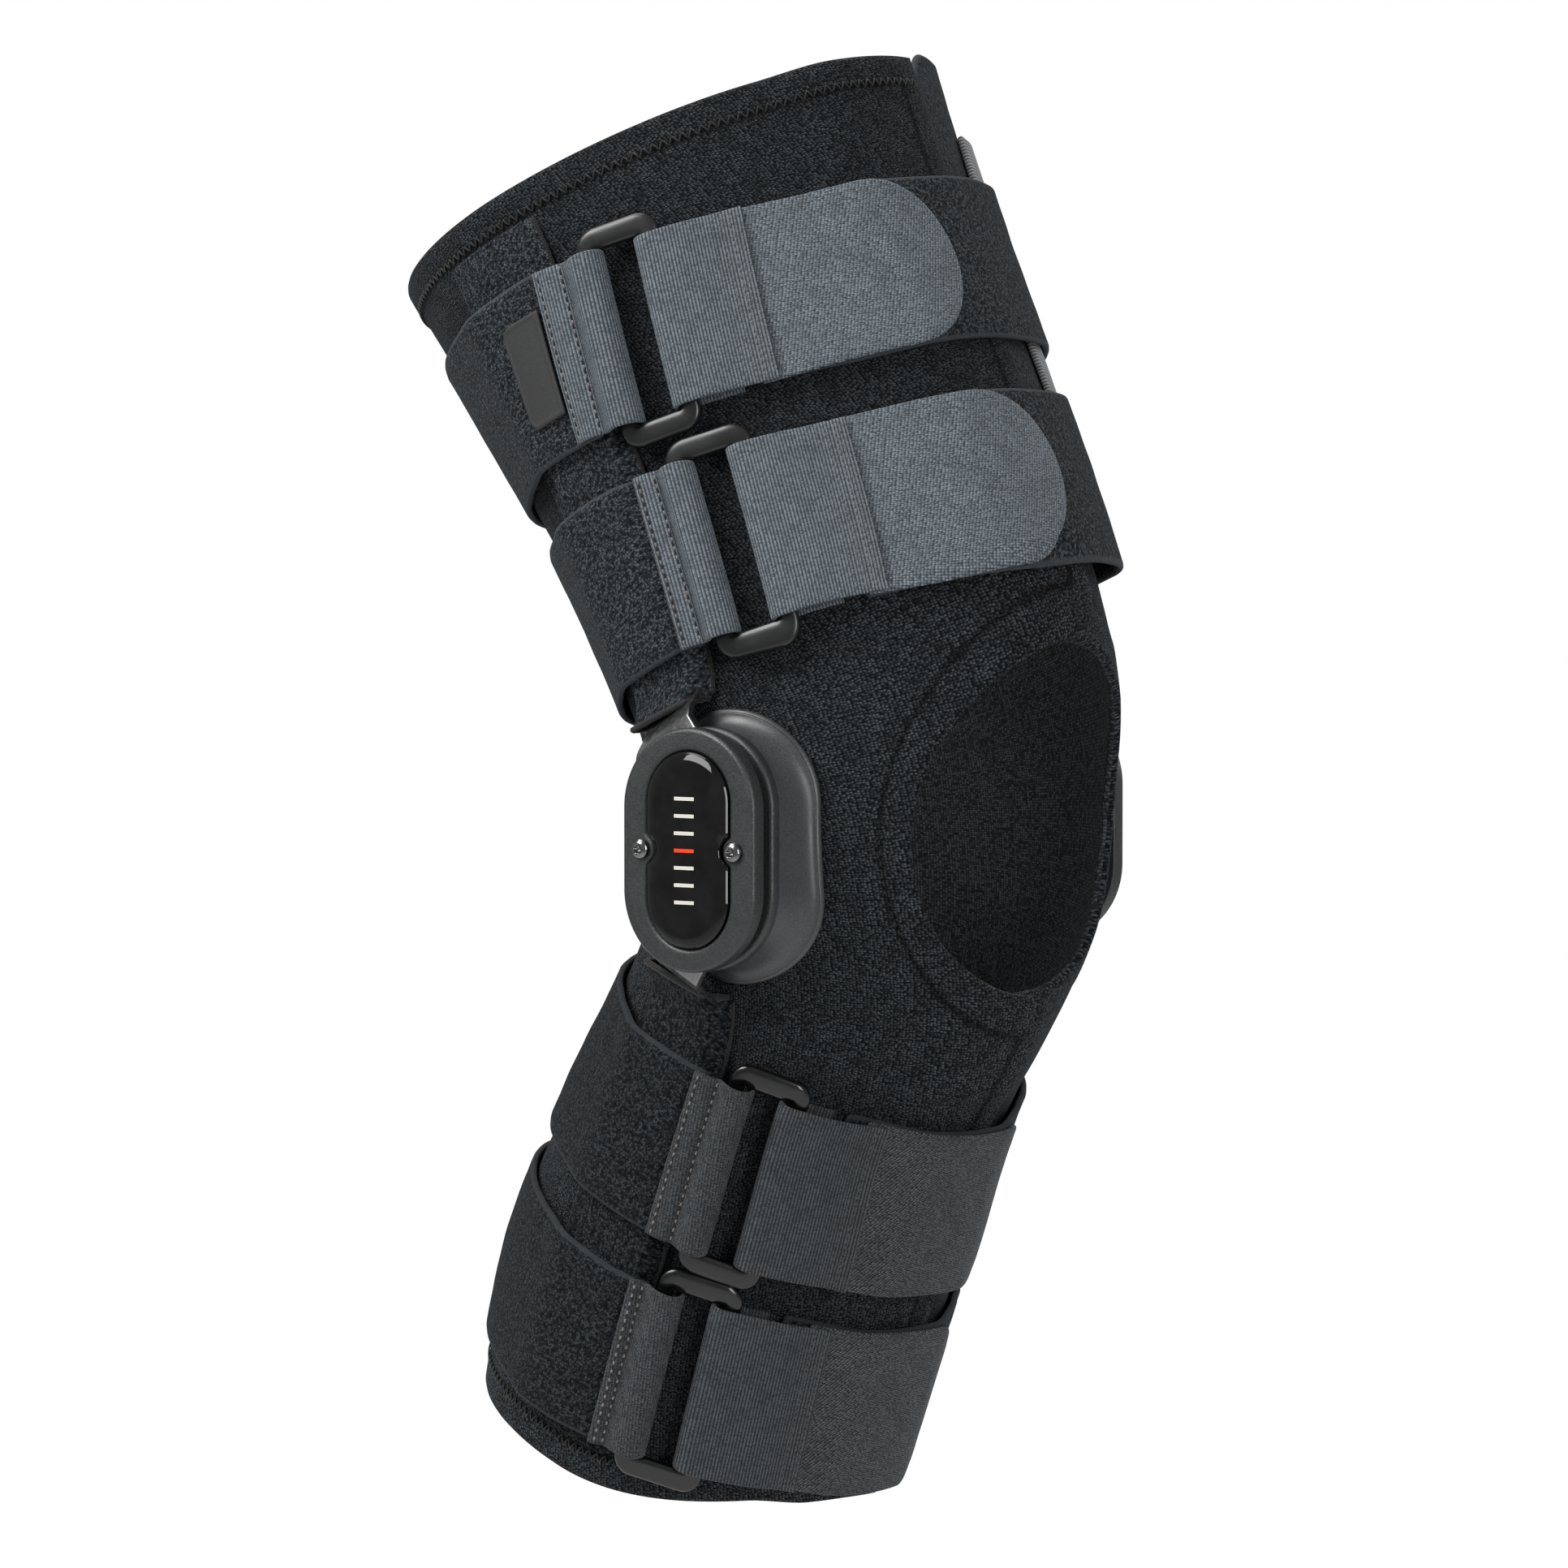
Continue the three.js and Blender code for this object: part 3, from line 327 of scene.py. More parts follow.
def add_piece(name, points, faces, material, stands_for=(), flat=None, edge=None):
    """A closed mesh that rides on the brace. flat and edge are kept for the material, in millimetres."""
    points = np.asarray(points, float)
    if signed_volume(points, faces) < 0:
        faces = [group[:, ::-1] for group in faces]
    mesh = bpy.data.meshes.new(name)
    mesh.from_pydata((points * MM).tolist(), [], [f for group in faces for f in group.tolist()])
    mesh.shade_smooth()
    mesh.materials.append(material)
    if flat is not None:
        corners = np.zeros(len(mesh.loops), np.int32)
        mesh.loops.foreach_get("vertex_index", corners)
        uv = mesh.uv_layers.new(name="flat")
        uv.data.foreach_set("uv", np.asarray(flat, np.float32)[corners].ravel())
        kept = mesh.attributes.new("edge", "FLOAT", "POINT")
        kept.data.foreach_set("value", np.asarray(edge, np.float32))
    piece = linked(name, mesh)
    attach(piece, "root")
    if stands_for:
        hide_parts(*stands_for)
    return piece


def quads(index):
    """Faces between neighbouring points of a grid."""
    return np.stack([index[:-1, :-1], index[:-1, 1:], index[1:, 1:], index[1:, :-1]], axis=-1).reshape(-1, 4)


def cloth(name, node, place, grid, wall, material, relief, pile_margin=0.0):
    """A cloth with round edges in place of a node. The grid gives flat places along and across it and their
    distance from its edge. place gives points at an offset from its middle surface, and relief raises its
    outer side. A pile margin hides the bare selvage."""
    along, across, depth = grid
    half = wall / 2
    full = np.sqrt(1 - (1 - np.clip(depth / half, 0, 1)) ** 2)
    full[[0, -1], :] = 0
    full[:, [0, -1]] = 0
    outer = place(along, across, full * (half + relief))
    inner = place(along, across, -full * half)
    upper = np.arange(along.size).reshape(along.shape)
    inside = np.zeros(along.shape, bool)
    inside[1:-1, 1:-1] = True
    lower = upper.copy()
    lower[inside] = along.size + np.arange(inside.sum())
    points = np.concatenate([outer.reshape(-1, 3), inner[inside]])
    flat = np.stack([along, across], axis=-1)
    flat = np.concatenate([flat.reshape(-1, 2), flat[inside]])
    edge = np.concatenate([depth.ravel(), depth[inside]]) + pile_margin
    faces = [quads(upper), quads(lower)[:, ::-1]]
    return add_piece(name, points, faces, material, [node], flat, edge)


def thinned(values, least):
    """Sorted values without those that lie closer than least to the one before."""
    kept = [values[0]]
    for value in values[1:-1]:
        if value - kept[-1] >= least and values[-1] - value >= least:
            kept.append(value)
    return np.array([*kept, values[-1]])


def spaced(length, step, wall):
    """Places from 0 to length, close together within half a wall of both ends."""
    fine = wall / 2 * np.array([0, 0.13, 0.45, 1])
    count = max(2, round((length - 2 * fine[-1]) / step) + 1)
    middle = np.linspace(fine[-1], length - fine[-1], count)
    return np.concatenate([fine[:-1], middle, length - fine[-2::-1]])


def narrowing(corner, away):
    """How much a rounded corner takes off a strip's half width, at a distance from its end."""
    share = np.clip(1 - away / max(corner, 1e-6), 0, 1)
    return corner * (1 - np.sqrt(1 - share**2))


def patch(length, width, wall, steps, corners):
    """Flat places over a strip with rounded corners, and their distance from its edge."""
    start, end = corners
    turned = 1 - np.cos(arc(10))
    rows = [spaced(length, steps[0], wall), start * turned, length - end * turned]
    rows = thinned(np.sort(np.concatenate(rows)), 0.04)
    columns = spaced(width, steps[1], wall) - width / 2
    half = np.maximum(width / 2 - narrowing(start, rows) - narrowing(end, length - rows), 0.2)
    along = np.repeat(rows[:, None], len(columns), axis=1)
    across = columns[None, :] * (half / (width / 2))[:, None]
    corner = np.where(along < length / 2, start, end)
    past_end = np.abs(along - length / 2) - (length / 2 - corner)
    past_side = np.abs(across) - (width / 2 - corner)
    outside = np.hypot(np.maximum(past_end, 0), np.maximum(past_side, 0))
    depth = corner - outside - np.minimum(np.maximum(past_end, past_side), 0)
    return along, across, np.maximum(depth, 0)


def sheet(node, size, place, wall, steps, corners, material, relief, pile_margin=0.0):
    """A strip of cloth in place of a node, of a flat length and width."""
    length, width = size
    grid = patch(length, width, wall, steps, corners)
    piece = cloth(node + "_cloth", node, place, grid, wall, material, relief(*grid[:2]), pile_margin)


def loft(loops):
    """Points and faces through closed loops of the same number of points, with a fan at both ends."""
    count = loops[0].shape[0]
    points = np.concatenate([*loops, loops[0].mean(0)[None], loops[-1].mean(0)[None]])
    index = np.arange(count * len(loops)).reshape(len(loops), count)
    around = np.concatenate([index, index[:, :1]], axis=1)
    first, last = len(points) - 2, len(points) - 1
    fans = [
        np.stack([np.full(count, first), np.roll(index[0], -1), index[0]], axis=1),
        np.stack([np.full(count, last), index[-1], np.roll(index[-1], -1)], axis=1),
    ]
    return points, [quads(around), np.concatenate(fans)]


def tubes(paths, ups, radii, sides):
    """Closed tubes along paths (many, steps, 3), with flattened directions ups and radii by step."""
    along = unit(np.gradient(paths, axis=1))
    side = unit(np.cross(along, ups))
    up = np.cross(side, along)
    turn = 2 * np.pi * np.arange(sides) / sides
    ring = np.cos(turn)[:, None] * side[:, :, None, :] + np.sin(turn)[:, None] * up[:, :, None, :]
    points = paths[:, :, None, :] + ring * np.asarray(radii)[..., None, None]
    many, steps = paths.shape[:2]
    index = np.arange(many * steps * sides).reshape(many, steps, sides)
    around = np.concatenate([index, index[:, :, :1]], axis=2)
    walls = np.concatenate([quads(one) for one in around])
    caps = np.concatenate([index[:, 0, ::-1], index[:, -1, :]])
    return points.reshape(-1, 3), [walls, caps]


def stitches(name, starts, ends, ups, material, radius, arch):
    """Short threads that arch from one hole to the next."""
    steps = np.linspace(0, 1, 6)
    rise = arch * (4 * steps * (1 - steps)) - 0.12
    paths = starts[:, None] + (ends - starts)[:, None] * steps[:, None] + ups[:, None] * rise[:, None]
    radii = radius * np.sqrt(np.clip(1 - (2 * steps - 1) ** 4, 0.2, 1))
    points, faces = tubes(paths, np.repeat(ups[:, None], len(steps), axis=1), radii[None, :], 6)
    add_piece(name, points, faces, material)


def ripple(a, b, size):
    """Slow uneven waves between about -1 and 1, over distances in millimetres."""
    a, b = a / size, b / size
    waves = np.sin(6.3 * a + 1.3 * np.sin(3.1 * b)) + np.sin(5.1 * b + 1.7 * np.sin(2.3 * a + 1))
    return 0.5 * waves * np.cos(1.9 * (a + b) + 0.7)


# Finishes


class Finish:
    """A material with one principled shader, and short calls that add nodes to it."""

    def __init__(self, name, **sockets):
        self.material = bpy.data.materials.new(name)
        self.material.use_nodes = True
        self.tree = self.material.node_tree
        self.shader = self.tree.nodes["Principled BSDF"]
        for key, value in sockets.items():
            self.put(key.replace("_", " "), value)

    def feed(self, socket, value):
        if isinstance(value, bpy.types.NodeSocket):
            self.tree.links.new(value, socket)
        else:
            socket.default_value = value

    def put(self, key, value):
        self.feed(self.shader.inputs[key], value)

    def node(self, kind, inputs=(), **settings):
        made = self.tree.nodes.new("ShaderNode" + kind)
        for key, value in settings.items():
            setattr(made, key, value)
        for key, value in dict(inputs).items():
            self.feed(made.inputs[key], value)
        return made

    def math(self, operation, a, b=0.0):
        return self.node("Math", {0: a, 1: b}, operation=operation).outputs[0]

    def times(self, product, *factors):
        for factor in factors:
            product = self.math("MULTIPLY", product, factor)
        return product

    def flat(self, along, across, turn=0):
        """The place on the flat cloth, divided by a cell's size in millimetres."""
        place = self.node("UVMap", uv_map="flat").outputs[0]
        scale = (1 / along, 1 / across, 1)
        turned = (0, 0, math.radians(turn))
        return self.node("Mapping", {"Vector": place, "Scale": scale, "Rotation": turned}).outputs[0]

    def solid(self, size):
        """The place on the part, divided by a cell's size in millimetres."""
        place = self.node("TexCoord").outputs["Object"]
        return self.node("Mapping", {"Vector": place, "Scale": (1000 / size,) * 3}).outputs[0]

    def cells(self, along, across, turn, randomness):
        """Tufts on the flat cloth: 1 mid cell and 0 between cells, and a random number for each."""
        inputs = {"Vector": self.flat(along, across, turn), "Scale": 1.0, "Randomness": randomness}
        made = self.node("TexVoronoi", inputs, voronoi_dimensions="2D")
        tuft = self.ranged(made.outputs["Distance"], 0.62, 0.08)
        chance = self.node("SeparateColor", {0: made.outputs["Color"]}).outputs[0]
        return tuft, chance

    def noise(self, vector, detail, dimensions):
        inputs = {"Vector": vector, "Scale": 1.0, "Detail": detail}
        return self.node("TexNoise", inputs, noise_dimensions=dimensions).outputs[0]

    def blots(self, along, across, detail=3.0):
        """Soft light and dark over the flat cloth."""
        return self.noise(self.flat(along, across), detail, "2D")

    def grain(self, size, detail=2.0):
        """Soft light and dark through the part."""
        return self.noise(self.solid(size), detail, "3D")

    def ranged(self, value, low, high, to_low=0.0, to_high=1.0):
        inputs = {"Value": value, "From Min": low, "From Max": high, "To Min": to_low, "To Max": to_high}
        return self.node("MapRange", inputs).outputs[0]

    def mix(self, share, a, b):
        return self.node("Mix", {0: share, 6: a, 7: b}, data_type="RGBA").outputs[2]

    def greys(self, share, low, high, blue=1.0):
        return self.mix(share, grey(low, blue), grey(high, blue))

    def finished(self, colour, height, strength, distance):
        """The material, with a colour and a bump."""
        inputs = {"Height": height, "Strength": strength, "Distance": distance * MM}
        self.put("Base Color", colour)
        self.put("Normal", self.node("Bump", inputs).outputs[0])
        return self.material

    def edge(self):
        return self.node("Attribute", attribute_name="edge").outputs["Fac"]

    def crest(self, pitch):
        """Ribs across the cloth: 1 on a rib and 0 between ribs."""
        phase = self.node("SeparateXYZ", {0: self.flat(pitch, 1)}).outputs[0]
        return self.ranged(self.math("COSINE", self.times(phase, 2 * math.pi)), -1, 0.4)


def grey(level, blue=1.0):
    """A linear colour from an 8-bit level, a little bluer where blue is above 1."""
    linear = (level / 255 / 12.92) if level <= 10 else ((level / 255 + 0.055) / 1.055) ** 2.4
    return (linear, linear * (1 + 0.54 * (blue - 1)), linear * blue, 1)


def knit_finish():
    """Black loop knit: dashes of loops in rows round the leg, with painted shade along the sewn groove of a
    hem.
    """
    f = Finish("loop_knit", Roughness=0.95, Specular_IOR_Level=0.06, Sheen_Weight=0.03, Sheen_Roughness=0.4)
    wander = f.ranged(f.blots(5, 5), 0.3, 0.7, 0.7, 1.2)
    tuft, chance = f.cells(1.0, 0.55, 6, 0.6)
    loop = f.times(f.math("POWER", tuft, 1.4), f.ranged(chance, 0, 1, 0.15, 1))
    knit = f.greys(f.times(loop, wander), 13, 86, 1.28)
    # Painted shade: the knit is darkened to near black along the hem's sewn groove.
    from_seam = f.math("ABSOLUTE", f.math("SUBTRACT", f.edge(), HEM.seam))
    colour = f.mix(f.ranged(from_seam, 1.4, 0.2, 0, 0.7), knit, grey(6))
    return f.finished(colour, loop, 0.8, 0.4)


def lining_finish():
    """Smooth black jersey inside the sleeve."""
    f = Finish("sleeve_lining", Roughness=0.9, Specular_IOR_Level=0.06, Sheen_Weight=0.03)
    tuft, chance = f.cells(0.9, 0.7, 0, 0.3)
    colour = f.greys(f.times(tuft, chance), 30, 92, 1.15)
    return f.finished(colour, tuft, 0.5, 0.2)


def plush_finish(name, low, high, bare, blue=1.3):
    """Brushed loop pile: clumps of fine dark fibres, with a thin bare selvage at the edges."""
    f = Finish(name, Roughness=1.0, Specular_IOR_Level=0.04, Sheen_Weight=0.04, Sheen_Roughness=0.5)
    clumps = f.ranged(f.blots(1.5, 1.3, 5.0), 0.34, 0.66, 0.15, 1.1)
    fibre = f.ranged(f.times(*f.cells(0.8, 0.7, 24, 1.0)), 0, 0.6, 0.15, 1.2)
    brushed = f.ranged(f.blots(6, 5), 0.3, 0.7, 0.75, 1.25)
    pile = f.times(clumps, fibre, brushed)
    selvage = f.ranged(f.edge(), 1.3, 0.8)
    colour = f.mix(f.times(selvage, 0.8), f.greys(pile, low, high, blue), grey(bare, blue))
    return f.finished(colour, f.times(pile, f.ranged(selvage, 0, 1, 1, 0.15)), 0.9, 0.5)


def webbing_finish(name, low, high, blue):
    """Grey elastic: ribs of packed threads across the strap, with painted shade in the grooves between ribs.
    """
    f = Finish(name, Roughness=0.8, Specular_IOR_Level=0.12, Sheen_Weight=0.05)
    tuft, chance = f.cells(RIB.pitch, 0.45, 0, 0.4)
    rib = f.crest(RIB.pitch)
    worn = f.ranged(f.blots(7, 7), 0.3, 0.7, 0.85, 1.1)
    thread = f.ranged(f.times(tuft, chance), 0, 0.8, 0.3, 1.35)
    # Painted shade: the colour darkens in the grooves between the ribs.
    colour = f.greys(f.times(rib, thread, worn), low, high, blue)
    return f.finished(colour, f.math("ADD", rib, tuft), 0.5, 0.2)


def tape_finish(name, cell, turn, low, high, blue):
    """Tape with a fine slanting grain of small bricks."""
    f = Finish(name, Roughness=0.75, Specular_IOR_Level=0.12, Sheen_Weight=0.05)
    tuft, chance = f.cells(*cell, turn, 0.35)
    worn = f.ranged(f.blots(9, 9), 0.3, 0.7, 0.85, 1.1)
    shine = f.times(tuft, f.ranged(chance, 0, 1, 0.45, 1.0), worn)
    colour = f.greys(shine, low, high, blue)
    return f.finished(colour, tuft, 0.6, 0.2)


def strip_finish():
    """Light elastic, with painted shade in the grooves between its ribs."""
    f = Finish("ribbed_elastic", Roughness=0.6, Specular_IOR_Level=0.2, Sheen_Weight=0.05)
    threads = f.blots(0.5, 2.5, 2.0)
    light = f.mix(threads, grey(120, 1.06), grey(165, 1.05))
    # Painted shade: dark grey in the grooves between the ribs.
    colour = f.mix(f.crest(STRIP.rib), grey(52, 1.1), light)
    return f.finished(colour, threads, 0.3, 0.1)


def plastic_finish(name, level, roughness, grain, strength):
    """Moulded plastic with a fine spark-eroded grain."""
    f = Finish(name, Specular_IOR_Level=0.6)
    specks = f.grain(grain, 3.0)
    colour = f.greys(f.ranged(specks, 0.35, 0.7), level * 0.85, level * 1.2, 1.1)
    f.put("Roughness", f.ranged(f.grain(9), 0.3, 0.7, roughness - 0.05, roughness + 0.06))
    return f.finished(colour, specks, strength, 0.12)


def badge_finish():
    """Black print under a clear gloss dome, with a plain scale of short marks, red in the middle."""
    f = Finish("gloss_badge", Roughness=0.03, IOR=1.4)
    place = f.node("SeparateXYZ", {0: f.solid(1)})
    x, z = (f.math("ABSOLUTE", place.outputs[k]) for k in (0, 2))
    row = f.math("PINGPONG", f.math("ADD", place.outputs[2], SCALE.pitch / 2), SCALE.pitch / 2)
    mark = f.math("GREATER_THAN", row, SCALE.pitch / 2 - SCALE.mark / 2)
    for value, limit in ((x, SCALE.half_width), (z, SCALE.half_height)):
        mark = f.times(mark, f.math("LESS_THAN", value, limit))
    ink = f.mix(f.math("LESS_THAN", z, SCALE.pitch / 4), (0.62, 0.6, 0.54, 1), (0.8, 0.055, 0.01, 1))
    dust = f.ranged(f.grain(6, 4.0), 0.3, 0.8, 0.0, 0.006)
    black = f.mix(dust, (0.002, 0.002, 0.002, 1), (1, 1, 1, 1))
    f.put("Base Color", f.mix(mark, black, ink))
    return f.material


def metal_finish(name, level, roughness, metallic):
    """Metal with fine even wear."""
    f = Finish(name, Metallic=metallic)
    wear = f.grain(2.2, 5.0)
    colour = f.greys(f.ranged(wear, 0.4, 0.75), level, level * 1.15)
    f.put("Roughness", f.ranged(wear, 0.3, 0.7, roughness - 0.06, roughness + 0.08))
    return f.finished(colour, wear, 0.08, 0.1)


def thread_finish(name, level, blue):
    """Twisted sewing thread."""
    f = Finish(name, Roughness=0.75, Specular_IOR_Level=0.3, Sheen_Weight=0.2)
    twist = f.grain(0.5)
    light = grey(level, blue)
    dark = (*(0.45 * value for value in light[:3]), 1)
    colour = f.mix(f.ranged(twist, 0.3, 0.7), dark, light)
    return f.finished(colour, twist, 0.4, 0.1)


def rubber_finish():
    """Soft moulded label, bare."""
    f = Finish("label_rubber", Roughness=0.6, Specular_IOR_Level=0.35)
    specks = f.grain(0.5, 3.0)
    colour = f.greys(f.ranged(specks, 0.3, 0.7), 46, 56, 1.03)
    return f.finished(colour, specks, 0.15, 0.1)


def by_zone(finish, thigh, calf):
    """A finish for each zone, made from its own values."""
    zones = {"thigh": thigh, "calf": calf}
    return {zone: finish(f"{zone}_{name}", *values) for zone, (name, *values) in zones.items()}


KNIT = knit_finish()
LINING = lining_finish()
# Painted light and shade: the thigh plush is a lighter copy and the calf plush a darker copy of the same
# plush.
PLUSH = by_zone(plush_finish, ("plush", 9, 86, 62), ("plush", 5, 60, 48))
ELASTIC = by_zone(webbing_finish, ("elastic", 52, 130, 1.31), ("elastic", 32, 88, 1.22))
HOOK_TAPE = by_zone(tape_finish, ("hook_back", (1.0, 0.52), 14, 50, 144, 1.31),
                    ("hook_back", (1.0, 0.55), 24, 22, 102, 1.16))
KEEPER_TAPE = {**ELASTIC, "calf": tape_finish("calf_weave", (0.8, 0.5), 4, 26, 90, 1.18)}
RIBBED = strip_finish()
# Painted light: the thigh rings are a lighter copy of the same black plastic as the calf rings.
RING_PLASTIC = by_zone(plastic_finish, ("ring_plastic", 20, 0.3, 0.5, 0.06),
                       ("ring_plastic", 9, 0.2, 0.5, 0.03))
COVER_PLASTIC = plastic_finish("hinge_cover_plastic", 40, 0.42, 0.7, 0.9)
PAD_PLASTIC = plastic_finish("hinge_pad_plastic", 56, 0.38, 0.5, 0.2)
GLOSS = badge_finish()
ARM_METAL = metal_finish("coated_arm", 118, 0.27, 0.95)
SCREW_METAL = metal_finish("screw_steel", 120, 0.16, 1.0)
RUBBER = rubber_finish()
BLACK_THREAD = thread_finish("black_thread", 24, 1.1)
SEAM_THREAD = {
    "thigh": thread_finish("grey_thread", 112, 1.06),
    "calf": thread_finish("dark_thread", 74, 1.1),
}
LIGHT_THREAD = thread_finish("light_thread", 128, 0.88)


# Sleeve


def notch_share(station):
    """How far the kneecap hole, and then its rounded corners, take an edge back: shares from 0 to 1."""
    away = np.abs(station - KNEECAP.station)
    hole = np.sqrt(np.clip(1 - (away / KNEECAP.half_height) ** 2, 0, 1))
    past = np.clip((away - KNEECAP.half_height) / KNEECAP.corner, 0, 1)
    corner = np.where(away < KNEECAP.half_height, 1, 1 - np.sqrt(1 - (1 - past) ** 2))
    return hole, corner


def sleeve_edges(station):
    """Angles of the outer and the inner panel's front edge."""
    hole, rounding = notch_share(station)
    corner = np.degrees(KNEECAP.corner / leg_size("front", station)) * rounding
    half = KNEECAP.half_angle
    outer = OUTER_FRONT_EDGE + corner + hole * (half - OUTER_FRONT_EDGE - corner)
    inner = INNER_FRONT_EDGE - corner - hole * (INNER_FRONT_EDGE - corner - 360 + half)
    return outer, inner


def sleeve_stations():
    """Rows of the sleeve, closer together beside the kneecap hole."""
    corner = KNEECAP.corner * (1 - np.cos(arc(9)))
    knee = KNEECAP.station + KNEECAP.half_height * np.sin(arc(37, -90, 90))
    rounding = [KNEECAP.station + side * (KNEECAP.half_height + corner) for side in (-1, 1)]
    low, high = BOTTOM_EDGE.station, TOP_EDGE.station
    plain = low + spaced(high - low, SLEEVE_GRID.step, SLEEVE_WALL)
    kept = plain[np.abs(plain - KNEECAP.station) > KNEECAP_REACH]
    return thinned(np.unique(np.concatenate([kept, knee, *rounding]).round(3)), 0.05)


def edge_rise(station):
    """How far the row through a station rises at the front, so that the last rows follow the hems."""
    low, high = KNEECAP.station - KNEECAP_REACH, KNEECAP.station + KNEECAP_REACH
    above = (station - high) / (TOP_EDGE.station - high)
    below = (low - station) / (low - BOTTOM_EDGE.station)
    return TOP_EDGE.rise * np.clip(above, 0, 1) + BOTTOM_EDGE.rise * np.clip(below, 0, 1)


def front_share(angle):
    """1 at the front, falling to 0 at the sides."""
    return np.maximum(0, np.cos(np.radians(angle))) ** 2


def distance_to_outline(points, outline, block=2000):
    """Distance of flat points from a closed line, in blocks to spare memory."""
    run = np.roll(outline, -1, axis=0) - outline
    long = np.maximum((run**2).sum(1), 1e-9)
    found = []
    for k in range(0, len(points), block):
        away = points[k:k + block, None] - outline
        share = np.clip((away * run).sum(2) / long, 0, 1)
        found.append(np.sqrt(((away - share[..., None] * run) ** 2).sum(2).min(1)))
    return np.concatenate(found)


def mean_radius(station):
    sizes = leg_size("front", station) + leg_size("back", station) + 2 * leg_size("side", station)
    return sizes / 4 + SLEEVE_WALL


def sleeve_lift(angle):
    """The outer panel rides over the inner one near its front edge."""
    return OVERLAP_LIFT * (1 - smooth_step(LIFT_END, LIFT_START, angle))


def knee_folds(station, angle):
    """Creases that gather behind a bent knee."""
    window = np.exp(-((station / FOLDS.reach) ** 4)) * np.exp(-(((angle - 180) / FOLDS.half_angle) ** 4))
    bend = 3.2 * np.sin(np.radians(2.3 * angle)) + 2 * np.sin(np.radians(5.1 * angle + 40))
    return window * (0.9 * np.sin((station + bend) / 2.9) + 0.5 * np.sin((station - 2 * bend) / 4.7))


def hem_profile(depth):
    """A folded hem: raised, with a sewn groove along its inner side."""
    raised = HEM.rise * (1 - smooth_step(HEM.width - 0.9, HEM.width + 0.7, depth))
    return raised - HEM.groove * np.exp(-(((depth - HEM.seam) / HEM.groove_width) ** 2))


def sleeve_grid():
    """Stations and angles over the sleeve, with close columns along its front edges."""
    stations = sleeve_stations()
    outer, inner = sleeve_edges(stations)
    radius = mean_radius(stations)
    length = np.radians(inner - outer) * radius
    *fine, last = SLEEVE_GRID.fine
    share = np.linspace(0, 1, SLEEVE_GRID.columns)
    from_outer = last + share[None, :] * (length - 2 * last)[:, None]
    first = np.tile(fine, (len(stations), 1))
    from_outer = np.concatenate([first, from_outer, length[:, None] - first[:, ::-1]], axis=1)
    angle = outer[:, None] + np.degrees(from_outer / radius[:, None])
    return stations[:, None] + edge_rise(stations)[:, None] * front_share(angle), angle


def sleeve_flat(station, angle):
    return np.radians(angle - 180) * mean_radius(station)


def line_inside(piece):
    """Gives the inner faces the lining's finish."""
    mesh = piece.data
    mesh.materials.append(LINING)
    index = np.zeros(len(mesh.polygons), np.int32)
    index[len(index) // 2:] = 1
    mesh.polygons.foreach_set("material_index", index)


def sleeve():
    station, angle = sleeve_grid()
    along = sleeve_flat(station, angle)
    flat = np.stack([along, station], axis=-1)
    outline = np.concatenate([flat[0], flat[1:, -1], flat[-1, -2::-1], flat[-2:0:-1, 0]])
    depth = distance_to_outline(flat.reshape(-1, 2), outline).reshape(station.shape)
    folds = knee_folds(station, angle)
    middle = SLEEVE_WALL / 2 + sleeve_lift(angle) + FOLDS.depth * folds
    soft = 0.22 * ripple(along, station, 46) + 0.1 * ripple(station, along, 17)
    relief = hem_profile(depth) + soft + FOLDS.relief * folds

    def place(_, __, offset):
        return on_leg(station, angle, middle + offset)

    grid = (along, station, depth)
    piece = cloth("sleeve_cloth", "sleeve", place, grid, SLEEVE_WALL, KNIT, relief)
    line_inside(piece)


sleeve()


# Closure on the front of the thigh


def front_panel(node, size, base, steps, material, relief):
    """A panel along the front of the thigh: along runs up it and across runs round it."""
    middle_angle = (size.start + size.end) / 2
    radius = float(mean_radius(np.array((size.top + size.bottom) / 2))) + base + PANEL.out
    flat = (size.top - size.bottom, np.radians(size.start - size.end) * radius)

    def place(along, across, offset):
        angle = middle_angle + np.degrees(across / radius)
        height = base + size.wall / 2 + PANEL.wave * ripple(along, across, 60)
        return on_leg(size.bottom + along, angle, height + offset)

    corners = (size.corner, size.corner)
    sheet(node, flat, place, size.wall, steps, corners, material, relief)


def flap_relief(along, across):
    return 0.15 * ripple(along, across, 12)


def strip_relief(along, across):
    return 0.16 * np.cos(2 * np.pi * along / STRIP.rib) + 0.5 - (across / 16) ** 2


front_panel("thigh_closure_flap", FLAP, FLAP_BASE, (2.5, 2.5), PLUSH["thigh"], flap_relief)
front_panel("thigh_closure_strip", STRIP, STRIP_BASE, (0.19, 2.5), RIBBED, strip_relief)


# Pockets


def pocket_height(across, along):
    """Height of the pocket's underside above the bare leg, with its mouth lifted by the arm."""
    low = SLEEVE_WALL + 2.5 * GAP
    up = 1 - smooth_step(POCKET.channel - 1.2, POCKET.channel + POCKET.shoulder + 0.5, np.abs(across))
    up = up * (1 - smooth_step(ARM.end + 1, ARM.end + 16, POCKET.mouth + along))
    sag = POCKET.sag * np.cos(np.clip(across / POCKET.channel, -1, 1) * np.pi / 2)
    flare = POCKET.flare * np.exp(-along / (0.6 * POCKET.lip))
    return low + up * (CHANNEL_TOP - low - sag + flare)


def pocket_place(direction, mirror):
    middle = (POCKET.front + POCKET.back) / 2

    def place(along, across, offset):
        past = along - POCKET.droop
        station = direction * (POCKET.mouth + past)
        height = pocket_height(across + middle, past) + POCKET.wall / 2 + offset
        return on_leg(station, beside_arm(station, across + middle), height) * (1, mirror, 1)

    return place


def pocket_relief(along, across):
    return 0.12 * ripple(along, across, 9) + 0.1 * ripple(across, along, 23)


